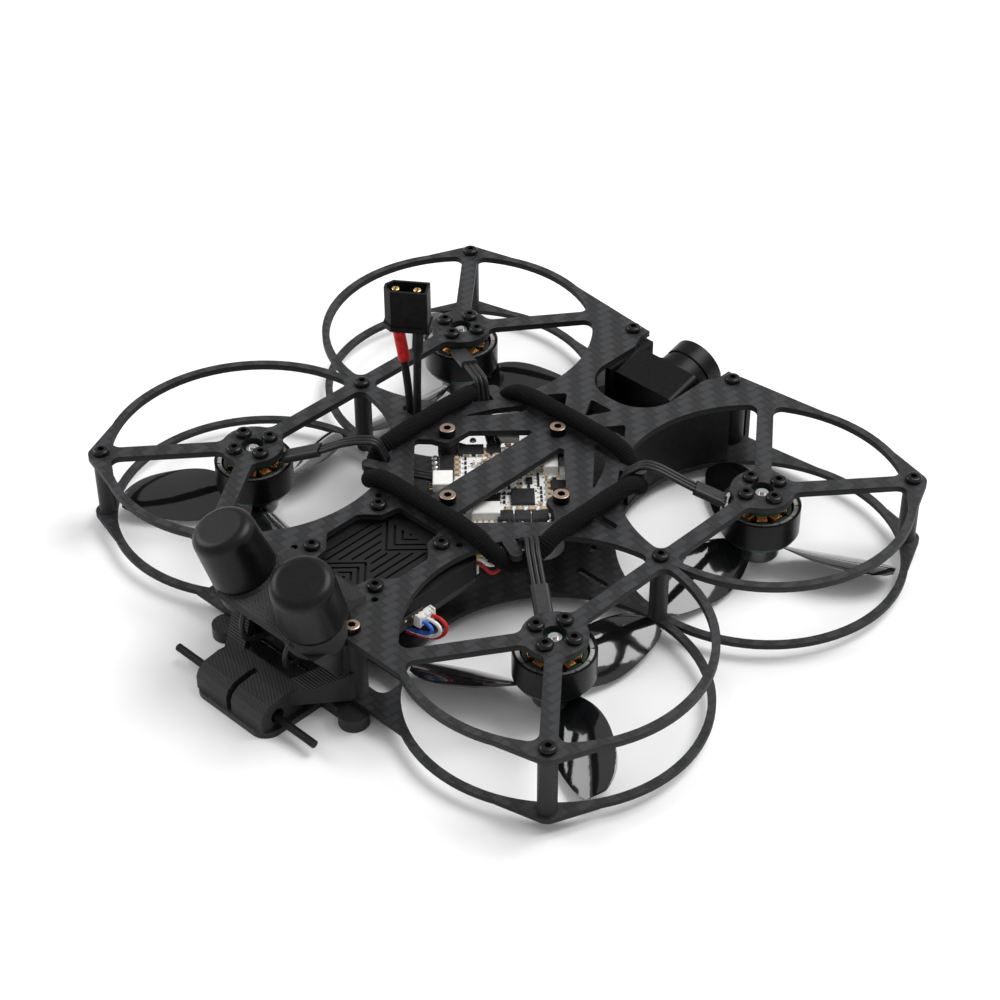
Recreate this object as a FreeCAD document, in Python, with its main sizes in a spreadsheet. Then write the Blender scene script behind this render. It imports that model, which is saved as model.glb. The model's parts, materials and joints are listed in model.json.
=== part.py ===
import FreeCAD, Part
import Sketcher
import math
import os
from FreeCAD import Placement, Rotation, Vector

# Ducted pusher quadcopter. Millimetres, +Z up, nose toward -Y, left side +X.
# The origin is on the top face of the upper plate, midway between the four motors.

doc = FreeCAD.newDocument("Quadcopter")
sheet = doc.addObject("Spreadsheet::Sheet", "Sizes")

sizes = [
    ("motorX", 47.8, "motor axis from the centre line"),
    ("motorY", 34.2, "motor axis fore and aft"),
    ("topThickness", 1.5, "upper plate"),
    ("lowThickness", 1.2, "lower plate"),
    ("plateGap", 15.0, "standoff length"),
    ("ductRadius", 32.6, "inside of a duct ring"),
    ("ringRadius", 34.4, "outside of a duct ring"),
    ("spokeWidth", 3.8, "arms inside a duct"),
    ("padRadius", 7.2, "plate under a motor"),
    ("boltCircle", 9.0, "motor screw circle"),
    ("boltAngle", 74.4, "first motor screw from the lateral axis"),
    ("outerReach", 34.58, "outer standoff from the motor axis"),
    ("outerAngle", 49.3, "outer standoff from the lateral axis"),
    ("junctionX", 47.2, "standoff between two ducts"),
    ("frontX", 15.85, "front standoff"),
    ("frontY", 62.45, "front standoff"),
    ("rearX", 16.4, "rear standoff"),
    ("rearY", 62.6, "rear standoff"),
    ("postRadius", 2.1, "standoff"),
    ("screwRadius", 1.0, "every machine screw"),
    ("headRadius", 1.9, "button head"),
    ("headHeight", 1.3, "button head"),
    ("stackHole", 18.03, "controller screw from the stack centre"),
    ("vtxY", 39.9, "video transmitter centre"),
    ("vtxHalf", 10.0, "half of the 20 mm transmitter pattern"),
    ("trayHalf", 12.75, "half of the 25.5 mm accessory pattern"),
    ("bellRadius", 9.1, "motor bell"),
    ("bellTop", -4.0, "open rim of the bell"),
    ("bellFloor", -12.0, "closed end of the bell"),
    ("shaftRadius", 0.75, "motor shaft"),
    ("hubRadius", 5.0, "propeller hub"),
    ("hubFloor", -17.9, "underside of the propeller hub"),
    ("propRadius", 31.6, "propeller tip"),
    ("bladeHeight", -16.1, "middle of a blade tip"),
    ("strapRadius", 2.05, "elastic strap"),
    ("cameraHalf", 9.5, "half of the camera's width and height"),
    ("cameraY", -54.8, "camera tilt axis"),
    ("cameraZ", -9.5, "camera tilt axis"),
    ("cameraTilt", 15.0, "camera angle above level"),
    ("leadRadius", 1.05, "battery lead"),
    ("coaxRadius", 0.6, "antenna lead"),
]
for row, (alias, value, note) in enumerate(sizes, start=1):
    sheet.set(f"A{row}", note)
    sheet.set(f"B{row}", str(value))
    sheet.setAlias(f"B{row}", alias)
doc.recompute()


def size(alias):
    return float(getattr(sheet, alias))


motorX = size("motorX")
motorY = size("motorY")
topFloor = -size("topThickness")
lowTop = topFloor - size("plateGap")
lowFloor = lowTop - size("lowThickness")
vtxY = size("vtxY")
corners = [(1, -1), (1, 1), (-1, 1), (-1, -1)]
cornerNames = ["front_left", "rear_left", "rear_right", "front_right"]
nodes = []

# ---- drawing helpers ----------------------------------------------------------


def outline(points):
    """Closed outline through (x, y) or (x, y, corner radius) points."""
    bends = []
    count = len(points)
    for index, point in enumerate(points):
        here = Vector(point[0], point[1], 0)
        if len(point) < 3 or point[2] == 0:
            bends.append((here, None, here))
            continue
        before = Vector(points[index - 1][0], points[index - 1][1], 0)
        after = Vector(points[(index + 1) % count][0], points[(index + 1) % count][1], 0)
        back = (before - here).normalize()
        onward = (after - here).normalize()
        half = back.getAngle(onward) / 2
        reach = point[2] / math.tan(half)
        middle = (back + onward).normalize()
        apex = here + middle * (point[2] / math.sin(half) - point[2])
        bends.append((here + back * reach, apex, here + onward * reach))
    edges = []
    for index, (start, apex, end) in enumerate(bends):
        if apex is not None:
            edges.append(Part.Arc(start, apex, end))
        following = bends[(index + 1) % count][0]
        if end.distanceToPoint(following) > 1e-6:
            edges.append(Part.LineSegment(end, following))
    return edges


def mirrored(points):
    return [(-point[0],) + tuple(point[1:]) for point in reversed(points)]


def flipped(points):
    return [(point[0], -point[1]) + tuple(point[2:]) for point in reversed(points)]


def strip(x, y, angle, start, end, width):
    """Straight bar along an angle from (x, y)."""
    along = Vector(math.cos(math.radians(angle)), math.sin(math.radians(angle)), 0)
    side = Vector(-along.y, along.x, 0) * (width / 2)
    origin = Vector(x, y, 0)
    marks = [along * start - side, along * end - side, along * end + side, along * start + side]
    return [(origin.x + mark.x, origin.y + mark.y) for mark in marks]


def slot(x1, y1, x2, y2, radius):
    """Round-ended slot as a four-cornered outline with full corner arcs."""
    along = Vector(x2 - x1, y2 - y1, 0).normalize() * radius
    side = Vector(-along.y, along.x, 0)
    round = radius * 0.999
    return [(x1 - along.x - side.x, y1 - along.y - side.y, round),
            (x2 + along.x - side.x, y2 + along.y - side.y, round),
            (x2 + along.x + side.x, y2 + along.y + side.y, round),
            (x1 - along.x + side.x, y1 - along.y + side.y, round)]


def circle(x, y, radius):
    return [Part.Circle(Vector(x, y, 0), Vector(0, 0, 1), radius)]


def circles(places, radius):
    return [ring for x, y in places for ring in circle(x, y, radius)]


def joined(outlines):
    return [edge for points in outlines for edge in outline(points)]


# ---- document helpers ---------------------------------------------------------


def newBody(name):
    body = doc.addObject("PartDesign::Body", name)
    body.Label = name
    return body


def sketch(body, name, edges, height=None, role="XY_Plane"):
    profile = body.newObject("Sketcher::SketchObject", name)
    plane = [item for item in body.Origin.OriginFeatures if item.Role == role][0]
    profile.AttachmentSupport = [(plane, "")]
    profile.MapMode = "FlatFace"
    profile.addGeometry(edges, False)
    if height is not None:
        profile.setExpression("AttachmentOffset.Base.z", str(height))
    return profile


def boundCircles(body, name, places, alias, height):
    """Circles of one radius, which follows a cell of the sheet."""
    profile = sketch(body, name, circles(places, size(alias)), height)
    profile.addConstraint([Sketcher.Constraint("Equal", 0, other) for other in range(1, len(places))])
    first = profile.addConstraint(Sketcher.Constraint("Radius", 0, size(alias)))
    profile.setExpression(f"Constraints[{first}]", f"Sizes.{alias}")
    return profile


def pad(body, name, profile, length):
    feature = body.newObject("PartDesign::Pad", name)
    feature.Profile = profile
    feature.setExpression("Length", str(length))
    return feature


def pocket(body, name, profile, depth):
    feature = body.newObject("PartDesign::Pocket", name)
    feature.Profile = profile
    feature.setExpression("Length", str(depth))
    return feature


def revolve(body, name, points):
    """Solid of revolution about Z from (radius, z) points."""
    profile = sketch(body, name + "Profile", outline(points), role="XZ_Plane")
    feature = body.newObject("PartDesign::Revolution", name)
    feature.Profile = profile
    feature.ReferenceAxis = (profile, ["V_Axis"])
    feature.Angle = 360
    return feature


def filletAt(body, name, radius, wanted):
    doc.recompute()
    base = body.Tip
    chosen = []
    for index, edge in enumerate(base.Shape.Edges, start=1):
        if len(edge.Vertexes) == 2 and wanted(edge):
            chosen.append(f"Edge{index}")
    feature = body.newObject("PartDesign::Fillet", name)
    feature.Base = (base, chosen)
    feature.Radius = radius
    return feature


def finish(body):
    nodes.append(body)
    return body


def shaped(name, shape, place=None):
    """A piece whose shape is worked out by Part's own functions."""
    feature = doc.addObject("Part::Feature", name)
    feature.Label = name
    feature.Shape = shape
    if place is not None:
        feature.Placement = place
    return finish(feature)


def group(name, solids):
    return shaped(name, Part.makeCompound(solids))


def block(x1, x2, y1, y2, z1, z2):
    return Part.makeBox(x2 - x1, y2 - y1, z2 - z1, Vector(x1, y1, z1))


def prism(points, z1, z2):
    face = Part.Face(Part.Wire([edge.toShape() for edge in outline(points)]))
    solid = face.extrude(Vector(0, 0, z2 - z1))
    solid.translate(Vector(0, 0, z1))
    return solid


def rod(x, y, z1, z2, radius):
    return Part.makeCylinder(radius, z2 - z1, Vector(x, y, z1))


def tube(points, radius, tight=None):
    """Round cord along straight runs joined by arcs as large as the runs allow."""
    spots = [Vector(*point) for point in points]
    edges = []
    bends = []
    start = spots[0]
    for index in range(1, len(spots) - 1):
        here = spots[index]
        back = spots[index - 1] - here
        onward = spots[index + 1] - here
        turn = math.pi - back.getAngle(onward)
        reach = 0.45 * min(back.Length, onward.Length)
        if tight is not None:
            reach = min(reach, tight * math.tan(turn / 2))
        bend = reach / math.tan(turn / 2)
        bends.append(bend)
        back = back.normalize()
        onward = onward.normalize()
        middle = (back + onward).normalize()
        inner = here + middle * (bend / math.cos(turn / 2) - bend)
        first = here + back * reach
        last = here + onward * reach
        edges.append(Part.LineSegment(start, first).toShape())
        edges.append(Part.Arc(first, inner, last).toShape())
        start = last
    edges.append(Part.LineSegment(start, spots[-1]).toShape())
    path = Part.Wire(edges)
    section = Part.Wire([Part.makeCircle(radius, spots[0], spots[1] - spots[0])])
    solid = path.makePipeShell([section], True, False)
    expected = math.pi * radius ** 2 * path.Length
    if abs(solid.Volume / expected - 1) > 0.02:
        raise RuntimeError("a cord's volume is not its section times its length")
    if bends:
        print("cord radius", radius, "length", round(path.Length, 1), "bends", [round(b, 1) for b in bends])
    return solid


def corner(sideX, sideY, x, y):
    """A place given outward from one motor's axis."""
    return sideX * (motorX + x), sideY * (motorY + y)


def polar(radius, angle):
    return radius * math.cos(math.radians(angle)), radius * math.sin(math.radians(angle))


motorPlaces = [(sx * motorX, sy * motorY) for sx, sy in corners]
outerOffset = polar(size("outerReach"), size("outerAngle"))
outerPosts = [corner(sx, sy, *outerOffset) for sx, sy in corners]
junctionPosts = [(size("junctionX"), 0), (-size("junctionX"), 0)]
frontPosts = [(size("frontX"), -size("frontY")), (-size("frontX"), -size("frontY"))]
rearPosts = [(size("rearX"), size("rearY")), (-size("rearX"), size("rearY"))]
allPosts = outerPosts + junctionPosts + frontPosts + rearPosts
motorScrews = []
for sx, sy in corners:
    for quarter in range(4):
        offset = polar(size("boltCircle") / 2, size("boltAngle") + 90 * quarter)
        motorScrews.append(corner(sx, sy, *offset))
stackReach = size("stackHole")
stackPlaces = [(stackReach, 0.2), (0, stackReach), (-stackReach, 0.2), (0, -stackReach)]
vtxPlaces = [(sx * size("vtxHalf"), vtxY + sy * size("vtxHalf")) for sx, sy in corners]
trayPlaces = [(sx * size("trayHalf"), vtxY + sy * size("trayHalf")) for sx, sy in corners]

# ---- carbon plates ------------------------------------------------------------

spineOutline = [(-47.8, -68.4), (-13.4, -64.9, 2.5), (13.4, -64.9, 2.5), (47.8, -68.4),
                (47.8, 34.2), (33, 65.3), (-33, 65.3), (-47.8, 34.2)]
lobe = [(32.8, -10.6), (38.0, 0, 3.1), (32.8, 10.6)]
noseNotch = [(-12.6, -72), (-12.6, -61.4, 1), (-10.8, -57.5, 2), (-10.8, -36.8, 9.6),
             (10.8, -36.8, 9.6), (10.8, -57.5, 2), (12.6, -61.4, 1), (12.6, -72)]
stackWindow = [(4.3, -15.4, 0.8), (15.4, -4.3, 0.8), (15.4, 2.6, 1.5), (19.4, 4.2, 1.2),
               (22.3, 6.7, 1.0), (4.3, 24.7, 0.8)]
sideSliver = [(20.9, -7.0, 0.25), (9.0, -21.0, 0.4), (13.2, -20.8, 0.6), (17.5, -14.5, 8)]
noseTriangle = [(0, -27.2, 0.5), (3.5, -33.4, 0.5), (-3.5, -33.4, 0.5)]
sideTriangle = [(5.3, -26.0, 0.5), (13.5, -26.0, 0.9), (9.3, -31.4, 0.8)]
wireSlot = slot(28.5, -0.8, 32.2, -0.8, 1.25)
vtxHalfHole = [(6.4, 27.0, 1), (7.2, 31.6, 1), (9.6, 33.6, 1), (11.2, 35.4, 1),
               (11.2, 44.4, 1), (9.6, 46.2, 1), (7.2, 48.2, 1), (6.4, 52.8, 1)]
vtxHole = vtxHalfHole + mirrored(vtxHalfHole)


def lobeAt(sx, sy):
    turned = []
    for point in lobe:
        along, across = point[0], point[1]
        angle = math.radians(size("outerAngle"))
        x = along * math.cos(angle) - across * math.sin(angle)
        y = along * math.sin(angle) + across * math.cos(angle)
        turned.append(corner(sx, sy, x, y) + tuple(point[2:]))
    return turned


def plateBody(name, floor, thickness):
    """Shared outline of both plates: a spine, four duct rings and the screw lobes."""
    body = newBody(name)
    pad(body, name + "Spine", sketch(body, name + "SpineProfile", outline(spineOutline), floor), thickness)
    for pair, label in (((0, 2), "A"), ((1, 3), "B")):
        places = [motorPlaces[index] for index in pair]
        profile = boundCircles(body, name + "Rings" + label, places, "ringRadius", floor)
        pad(body, name + "Ring" + label, profile, thickness)
    lobes = joined([lobeAt(sx, sy) for sx, sy in corners])
    pad(body, name + "Lobes", sketch(body, name + "LobeProfile", lobes, floor), thickness)
    duct = boundCircles(body, name + "DuctCircles", motorPlaces, "ductRadius", f"{floor} + {thickness}")
    pocket(body, name + "Ducts", duct, f"2 * {thickness}")
    return body


topFloorCell = "-Sizes.topThickness"
lowFloorCell = "(-Sizes.topThickness - Sizes.plateGap - Sizes.lowThickness)"
topPlate = plateBody("top_plate", topFloorCell, "Sizes.topThickness")
width = size("spokeWidth")
spokeReach = size("ductRadius") + 0.8
outerSpokes = []
noseSpokes = []
for sx, sy in corners:
    x, y = sx * motorX, sy * motorY
    outward = math.degrees(math.atan2(sy * outerOffset[1], sx * outerOffset[0]))
    outerSpokes.append(strip(x, y, outward, 0, spokeReach, width))
    inward = 52.5 if sy < 0 else 56.0
    acrossPart, alongPart = polar(1, inward)
    leaning = math.degrees(math.atan2(sy * alongPart, -sx * acrossPart))
    noseSpokes.append(strip(x, y, leaning, 0, spokeReach, width))
sideBars = [strip(sx * motorX, -motorY, 90, 0, 2 * motorY, width) for sx in (1, -1)]
for label, shapes in (("Outer", outerSpokes), ("Nose", noseSpokes), ("Side", sideBars)):
    profile = sketch(topPlate, "spoke" + label + "Profile", joined(shapes), topFloorCell)
    pad(topPlate, "spoke" + label, profile, "Sizes.topThickness")
padProfile = boundCircles(topPlate, "motorPadProfile", motorPlaces, "padRadius", topFloorCell)
pad(topPlate, "motorPads", padProfile, "Sizes.topThickness")


def uprightAt(radius):
    """Picks upright edges that stand on a circle about a motor axis."""
    def wanted(edge):
        first, last = edge.Vertexes[0].Point, edge.Vertexes[1].Point
        if abs(first.x - last.x) > 1e-4 or abs(first.y - last.y) > 1e-4:
            return False
        gaps = [abs(math.hypot(first.x - x, first.y - y) - radius) for x, y in motorPlaces]
        return min(gaps) < 0.02
    return wanted


filletAt(topPlate, "ringFillets", 2.2, uprightAt(size("ductRadius")))
filletAt(topPlate, "padFillets", 2.4, uprightAt(size("padRadius")))
hookTip = (23.4, 20.4)
hooks = []
for sx, sy in corners:
    hooks.append(slot(sx * 17.0, sy * 17.6, sx * hookTip[0], sy * hookTip[1], 1.5))
hookProfile = sketch(topPlate, "hookProfile", joined(hooks), topFloorCell)
pad(topPlate, "strapHooks", hookProfile, "Sizes.topThickness")
windows = [noseNotch, stackWindow, mirrored(stackWindow), sideSliver, mirrored(sideSliver), noseTriangle,
           sideTriangle, mirrored(sideTriangle), wireSlot, mirrored(wireSlot), vtxHole]
pocket(topPlate, "windows", sketch(topPlate, "windowProfile", joined(windows), 0), "2 * Sizes.topThickness")
screwHoles = boundCircles(topPlate, "screwHoleProfile", allPosts + motorScrews + stackPlaces + vtxPlaces,
                          "screwRadius", 0)
pocket(topPlate, "screwHoles", screwHoles, "2 * Sizes.topThickness")
smallHoles = circles(trayPlaces, 0.8) + circles(motorPlaces, 2.6)
pocket(topPlate, "smallHoles", sketch(topPlate, "smallHoleProfile", smallHoles, 0), "2 * Sizes.topThickness")
finish(topPlate)

lowPlate = plateBody("bottom_plate", lowFloorCell, "Sizes.lowThickness")
lowTopCell = "(-Sizes.topThickness - Sizes.plateGap)"
bellyWindow = [(19.5, 0, 5.5), (0, 19.5, 5.5), (-19.5, 0, 5.5), (0, -19.5, 5.5)]
tailWindow = [(9.5, 53.6, 2.2), (22.3, 53.6, 2.2), (22.3, 60.2, 2.2), (9.5, 60.2, 2.2)]
airSlot = slot(24.4, 0.4, 31.6, 0.4, 0.9)
dropSlot = slot(20.9, -7.9, 21.6, -6.9, 0.7)
lowWindows = [noseNotch, bellyWindow, tailWindow, mirrored(tailWindow), airSlot, mirrored(airSlot),
              dropSlot, mirrored(dropSlot)]
pocket(lowPlate, "lowWindows", sketch(lowPlate, "lowWindowProfile", joined(lowWindows), lowTopCell),
       "2 * Sizes.lowThickness")
lowHoles = boundCircles(lowPlate, "lowHoleProfile", allPosts, "screwRadius", lowTopCell)
pocket(lowPlate, "lowHoles", lowHoles, "2 * Sizes.lowThickness")
finish(lowPlate)

# ---- posts and screws ---------------------------------------------------------

post = newBody("postMaster")
postRing = boundCircles(post, "postRing", [(0, 0)], "postRadius", lowTopCell)
pad(post, "postPad", postRing, "Sizes.plateGap")
bore = boundCircles(post, "postBore", [(0, 0)], "screwRadius", topFloorCell)
pocket(post, "postThread", bore, "2 * Sizes.plateGap")
doc.recompute()


def copies(shape, places, mirror=False):
    """The master at every place, turned over when mirror is set."""
    placed = []
    for x, y in places:
        one = shape.copy()
        if mirror:
            one = one.mirror(Vector(0, 0, 0), Vector(0, 0, 1))
            one.translate(Vector(0, 0, lowFloor))
        one.translate(Vector(x, y, 0))
        placed.append(one)
    return placed


def hexPrism(radius, z1, z2):
    points = [Vector(*polar(radius, 60 * step), z1) for step in range(6)]
    ring = Part.makePolygon(points + [points[0]])
    return Part.Face(ring).extrude(Vector(0, 0, z2 - z1))


def screwMaster(name, head, height, length, dome, key):
    """Screw with a socket head on z = 0; dome rounds the head's edge, key is the socket's radius."""
    body = newBody(name)
    profile = [(0, -length), (size("screwRadius") * 0.97, -length), (size("screwRadius") * 0.97, 0),
               (head, 0), (head, height, dome), (0, height)]
    revolve(body, name + "Turned", profile)
    doc.recompute()
    return body.Shape.cut(hexPrism(key, height - 0.9, height + 0.1))


buttonMaster = screwMaster("buttonMaster", size("headRadius"), size("headHeight"), 4.5, 0.7, 0.8)
capMaster = screwMaster("capMaster", 1.9, 2.0, 9.5, 0.25, 0.95)
group("standoffs", copies(post.Shape, allPosts))
blackPosts = outerPosts + junctionPosts + frontPosts
uprightButtons = copies(buttonMaster, blackPosts + vtxPlaces)
group("button_screws", uprightButtons + copies(buttonMaster, allPosts, True))
shortMotor = screwMaster("motorScrewMaster", size("headRadius"), size("headHeight"), 3.4, 0.7, 0.8)
group("motor_screws", copies(shortMotor, motorScrews))
rearCaps = screwMaster("rearCapMaster", 1.9, 1.5, 4.5, 0.5, 0.9)
nut = hexPrism(2.2, -9.4, -7.9).cut(rod(0, 0, -9.5, -7.8, size("screwRadius") * 0.97))
stackScrews = copies(capMaster, stackPlaces) + copies(nut, stackPlaces)
group("stack_screws", stackScrews + copies(rearCaps, rearPosts))

# ---- flight controller under the stack window ---------------------------------

boardTop = -5.4
boardFloor = -6.4
grommet = newBody("grommetMaster")
revolve(grommet, "grommetTurned", [(1.0, topFloor), (2.3, topFloor), (2.3, boardTop), (1.6, boardTop),
                                   (1.6, boardFloor), (2.3, boardFloor), (2.3, -7.9), (1.0, -7.9)])
doc.recompute()
group("grommets", copies(grommet.Shape, stackPlaces))
boardHalf = 20.9
board = newBody("flight_controller")
boardOutline = [(boardHalf, 0.2, 2.6), (0, boardHalf, 2.6), (-boardHalf, 0.2, 2.6), (0, -boardHalf, 2.6)]
boardProfile = sketch(board, "boardProfile", outline(boardOutline), boardFloor)
pad(board, "boardPad", boardProfile, boardTop - boardFloor)
boardHoles = sketch(board, "boardHoles", circles(stackPlaces, 1.62), boardTop)
pocket(board, "boardHoleCut", boardHoles, 2)
finish(board)


def chip(x, y, wide, deep, high, turn=45, base=boardTop):
    """Component lying on the board, turned with it."""
    one = Part.makeBox(wide, deep, high, Vector(-wide / 2, -deep / 2, 0))
    one.Placement = Placement(Vector(x, y, base), Rotation(Vector(0, 0, 1), turn))
    return one


chips = [chip(-6.5, 0.5, 5.4, 5.4, 0.9), chip(-11.4, 4.9, 4.9, 3.6, 1.1), chip(-7.9, 8.4, 3.6, 3.6, 1.1),
         chip(6.9, 6.4, 3.6, 6.0, 1.0), chip(11.2, -2.2, 4.4, 4.4, 1.2), chip(-11.8, -4.2, 3.2, 3.6, 1.0),
         chip(6.4, 1.6, 3.4, 3.4, 0.9), chip(3.2, -8.0, 3.0, 3.0, 0.9)]
for step in range(4):
    chips.append(chip(-12.0 + 1.4 * step, -0.9 - 1.4 * step, 1.0, 1.9, 0.7, -45))
    chips.append(chip(3.6 + 1.4 * step, 13.0 - 1.4 * step, 1.0, 1.7, 0.7, -45))
group("controller_parts", chips)


def header(x, y, wide, deep, high, turn, base=boardTop):
    """Open-fronted plug socket with a solid back."""
    shell = Part.makeBox(wide, deep, high, Vector(-wide / 2, -deep / 2, 0))
    mouth = Part.makeBox(wide - 0.9, deep - 0.7, high - 0.9, Vector(-(wide - 0.9) / 2, -deep / 2 - 0.1, 0.45))
    one = shell.cut(mouth)
    one.Placement = Placement(Vector(x, y, base), Rotation(Vector(0, 0, 1), turn))
    return one


sockets = [header(-4.6, -9.4, 5.0, 3.6, 2.6, -45), header(15.6, 4.6, 4.2, 3.2, 2.6, 135),
           header(9.5, -7.4, 4.6, 3.4, 2.6, 45), header(-4.6, 13.6, 6.0, 3.4, 2.6, -135)]
group("controller_sockets", sockets)

# ---- video transmitter --------------------------------------------------------

vtxWide = 16.4
vtxFront = vtxY - 15.0
vtxBack = vtxY + 15.4
vtxTop = -2.7
caseFloor = -8.0
vtxCase = newBody("vtx_case")
vtxOutline = [(-vtxWide, vtxFront, 1.2), (vtxWide, vtxFront, 1.2), (vtxWide, vtxBack, 1.2),
              (-vtxWide, vtxBack, 1.2)]
pad(vtxCase, "casePad", sketch(vtxCase, "caseProfile", outline(vtxOutline), caseFloor), vtxTop - caseFloor)
grooveSkew = 0.78
grooves = []
for step in range(4):
    for flip, tip in ((1, vtxY + 3.1 + 2.2 * step), (-1, vtxY - 2.3 - 2.5 * step)):
        end = vtxY + flip * (9.9 if flip > 0 else 10.1)
        reach = abs(end - tip)
        grooves.append([(-reach, end), (0, tip), (reach, end), (reach - grooveSkew, end),
                        (0, tip + flip * grooveSkew), (-reach + grooveSkew, end)])
for x in (1, 3, 5, 7, 9):
    clip = 10 if x < 8 else 7.4
    low = max(vtxY - 2.3 - x + 1.2, vtxY - clip)
    high = min(vtxY + 3.1 + x - 1.2, vtxY + clip)
    for side in (1, -1):
        left, right = side * x - 0.27, side * x + 0.27
        grooves.append([(left, low), (right, low), (right, high), (left, high)])
pocket(vtxCase, "caseGrooves", sketch(vtxCase, "grooveProfile", joined(grooves), vtxTop), 0.6)
caseScrews = boundCircles(vtxCase, "caseScrewProfile", vtxPlaces, "screwRadius", vtxTop)
pocket(vtxCase, "caseScrewCut", caseScrews, 3.5)
finish(vtxCase)
vtxBoard = newBody("vtx_board")
pad(vtxBoard, "vtxBoardPad", sketch(vtxBoard, "vtxBoardProfile", outline(vtxOutline), caseFloor - 1.0), 1.0)
lid = [(-vtxWide + 1.5, vtxFront + 1.5, 1), (vtxWide - 1.5, vtxFront + 1.5, 1),
       (vtxWide - 1.5, vtxBack - 1.5, 1), (-vtxWide + 1.5, vtxBack - 1.5, 1)]
pad(vtxBoard, "vtxLidPad", sketch(vtxBoard, "vtxLidProfile", outline(lid), caseFloor - 3.4), 2.4)
finish(vtxBoard)
plugZ = caseFloor - 0.9
sidePlug = block(-vtxWide - 3.0, -vtxWide, 40.2, 44.8, plugZ - 0.8, plugZ + 1.7)
frontPlug = block(-14.6, -9.0, vtxFront - 3.4, vtxFront, plugZ - 1.2, plugZ + 2.0)
group("vtx_plugs", [sidePlug, frontPlug])
harness = []
for index, y in enumerate((40.9, 42.0, 43.1, 44.2)):
    drop = plugZ - 2.6 - 0.3 * index
    inset = -vtxWide - 3.0
    harness.append(tube([(inset - 0.08, y, plugZ + 0.4), (inset - 1.6, y - 0.3, plugZ + 0.2),
                         (inset - 2.4, y - 1.4, drop + 0.8), (inset - 0.8, y - 3.0, drop),
                         (inset + 1.6, y - 4.6, drop - 0.2)], 0.42))
for index, x in enumerate((-13.4, -12.1, -10.8)):
    y = vtxFront - 3.4
    harness.append(tube([(x, y - 0.08, plugZ + 0.4), (x - 0.6, y - 1.5, plugZ + 0.7), (x - 1.2, y - 2.8, plugZ - 0.4),
                         (x - 1.0, y - 4.0, plugZ - 1.9)], 0.42))
group("vtx_harness", harness)

# ---- motors, rotors and propellers --------------------------------------------

statorTop = -4.9
statorFloor = -9.0
toothCount = 9
magnetCount = 12
bladeAngles = {"front_left": 208, "rear_left": 40, "rear_right": 151, "front_right": 205}
bellTop = size("bellTop")
bellFloor = size("bellFloor")


def motorBase():
    body = newBody("motorBaseMaster")
    revolve(body, "baseTurned", [(1.55, topFloor), (6.6, topFloor), (6.6, -2.6), (2.5, -3.2, 0.3),
                                 (2.5, -9.8), (1.55, -9.8)])
    holes = [polar(size("boltCircle") / 2, size("boltAngle") + 90 * quarter) for quarter in range(4)]
    profile = boundCircles(body, "baseHoles", holes, "screwRadius", topFloorCell)
    pocket(body, "baseHoleCut", profile, 4)
    doc.recompute()
    bearing = rod(0, 0, -4.2, -2.4, 1.5).cut(rod(0, 0, -4.3, -2.3, 0.79))
    lower = bearing.copy()
    lower.translate(Vector(0, 0, -4.8))
    return [body.Shape, bearing, lower]


def statorParts():
    """Laminated core with nine teeth, and a coil round each tooth."""
    core = rod(0, 0, statorFloor, statorTop, 3.5).cut(rod(0, 0, statorFloor - 1, statorTop + 1, 2.52))
    coils = []
    for step in range(toothCount):
        turn = 360.0 * step / toothCount
        tooth = block(3.0, 6.5, -0.55, 0.55, statorFloor + 0.4, statorTop - 0.4)
        shoe = block(6.1, 7.1, -2.0, 2.0, statorFloor, statorTop).common(rod(0, 0, statorFloor, statorTop, 6.95))
        piece = tooth.fuse(shoe)
        piece.rotate(Vector(0, 0, 0), Vector(0, 0, 1), turn)
        core = core.fuse(piece)
        winding = block(3.75, 5.95, -1.12, 1.12, statorFloor - 0.35, statorTop + 0.35)
        winding = winding.makeFillet(0.4, [edge for edge in winding.Edges if edge.Length < 2.3])
        winding = winding.cut(block(3.0, 6.6, -0.56, 0.56, statorFloor + 0.39, statorTop - 0.39))
        winding.rotate(Vector(0, 0, 0), Vector(0, 0, 1), turn)
        coils.append(winding)
    return [core.removeSplitter()] + coils


def bellBody():
    body = newBody("bellMaster")
    outer = size("bellRadius")
    revolve(body, "bellTurned", [(8.45, bellTop), (outer, bellTop), (outer, -10.6), (8.3, bellFloor, 0.8),
                                 (0.76, bellFloor), (0.76, -11.0), (7.6, -11.0, 0.6), (8.45, -10.2)])
    vents = [slot(*polar(4.4, 60 * step), *polar(6.0, 60 * step), 1.0) for step in range(6)]
    pocket(body, "bellVents", sketch(body, "ventProfile", joined(vents), -10.5), 3)
    doc.recompute()
    return body.Shape


def magnetRing():
    ring = rod(0, 0, -10.0, bellTop - 0.3, 8.4).cut(rod(0, 0, -11, bellTop, 7.45))
    magnets = []
    for step in range(magnetCount):
        wedge = block(7.0, 8.6, -1.9, 1.9, -10.0, bellTop - 0.3)
        wedge.rotate(Vector(0, 0, 0), Vector(0, 0, 1), 360.0 * step / magnetCount)
        magnets.append(ring.common(wedge))
    return magnets


def bladeSection(radius, chord, pitch, rise, sweep):
    """Curved, thin blade section at one radius, pitched about its middle."""
    shape = [(-0.5, 0.0), (-0.25, 0.055), (0.1, 0.075), (0.4, 0.035), (0.5, 0.0),
             (0.3, -0.02), (0.0, -0.005), (-0.3, -0.02)]
    angle = math.radians(pitch)
    spots = []
    for along, up in shape:
        u = along * chord + sweep
        v = up * chord
        spots.append(Vector(radius, u * math.cos(angle) - v * math.sin(angle),
                            rise + u * math.sin(angle) + v * math.cos(angle)))
    curve = Part.BSplineCurve()
    curve.interpolate(Points=spots, PeriodicFlag=True)
    return Part.Wire([curve.toShape()])


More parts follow.
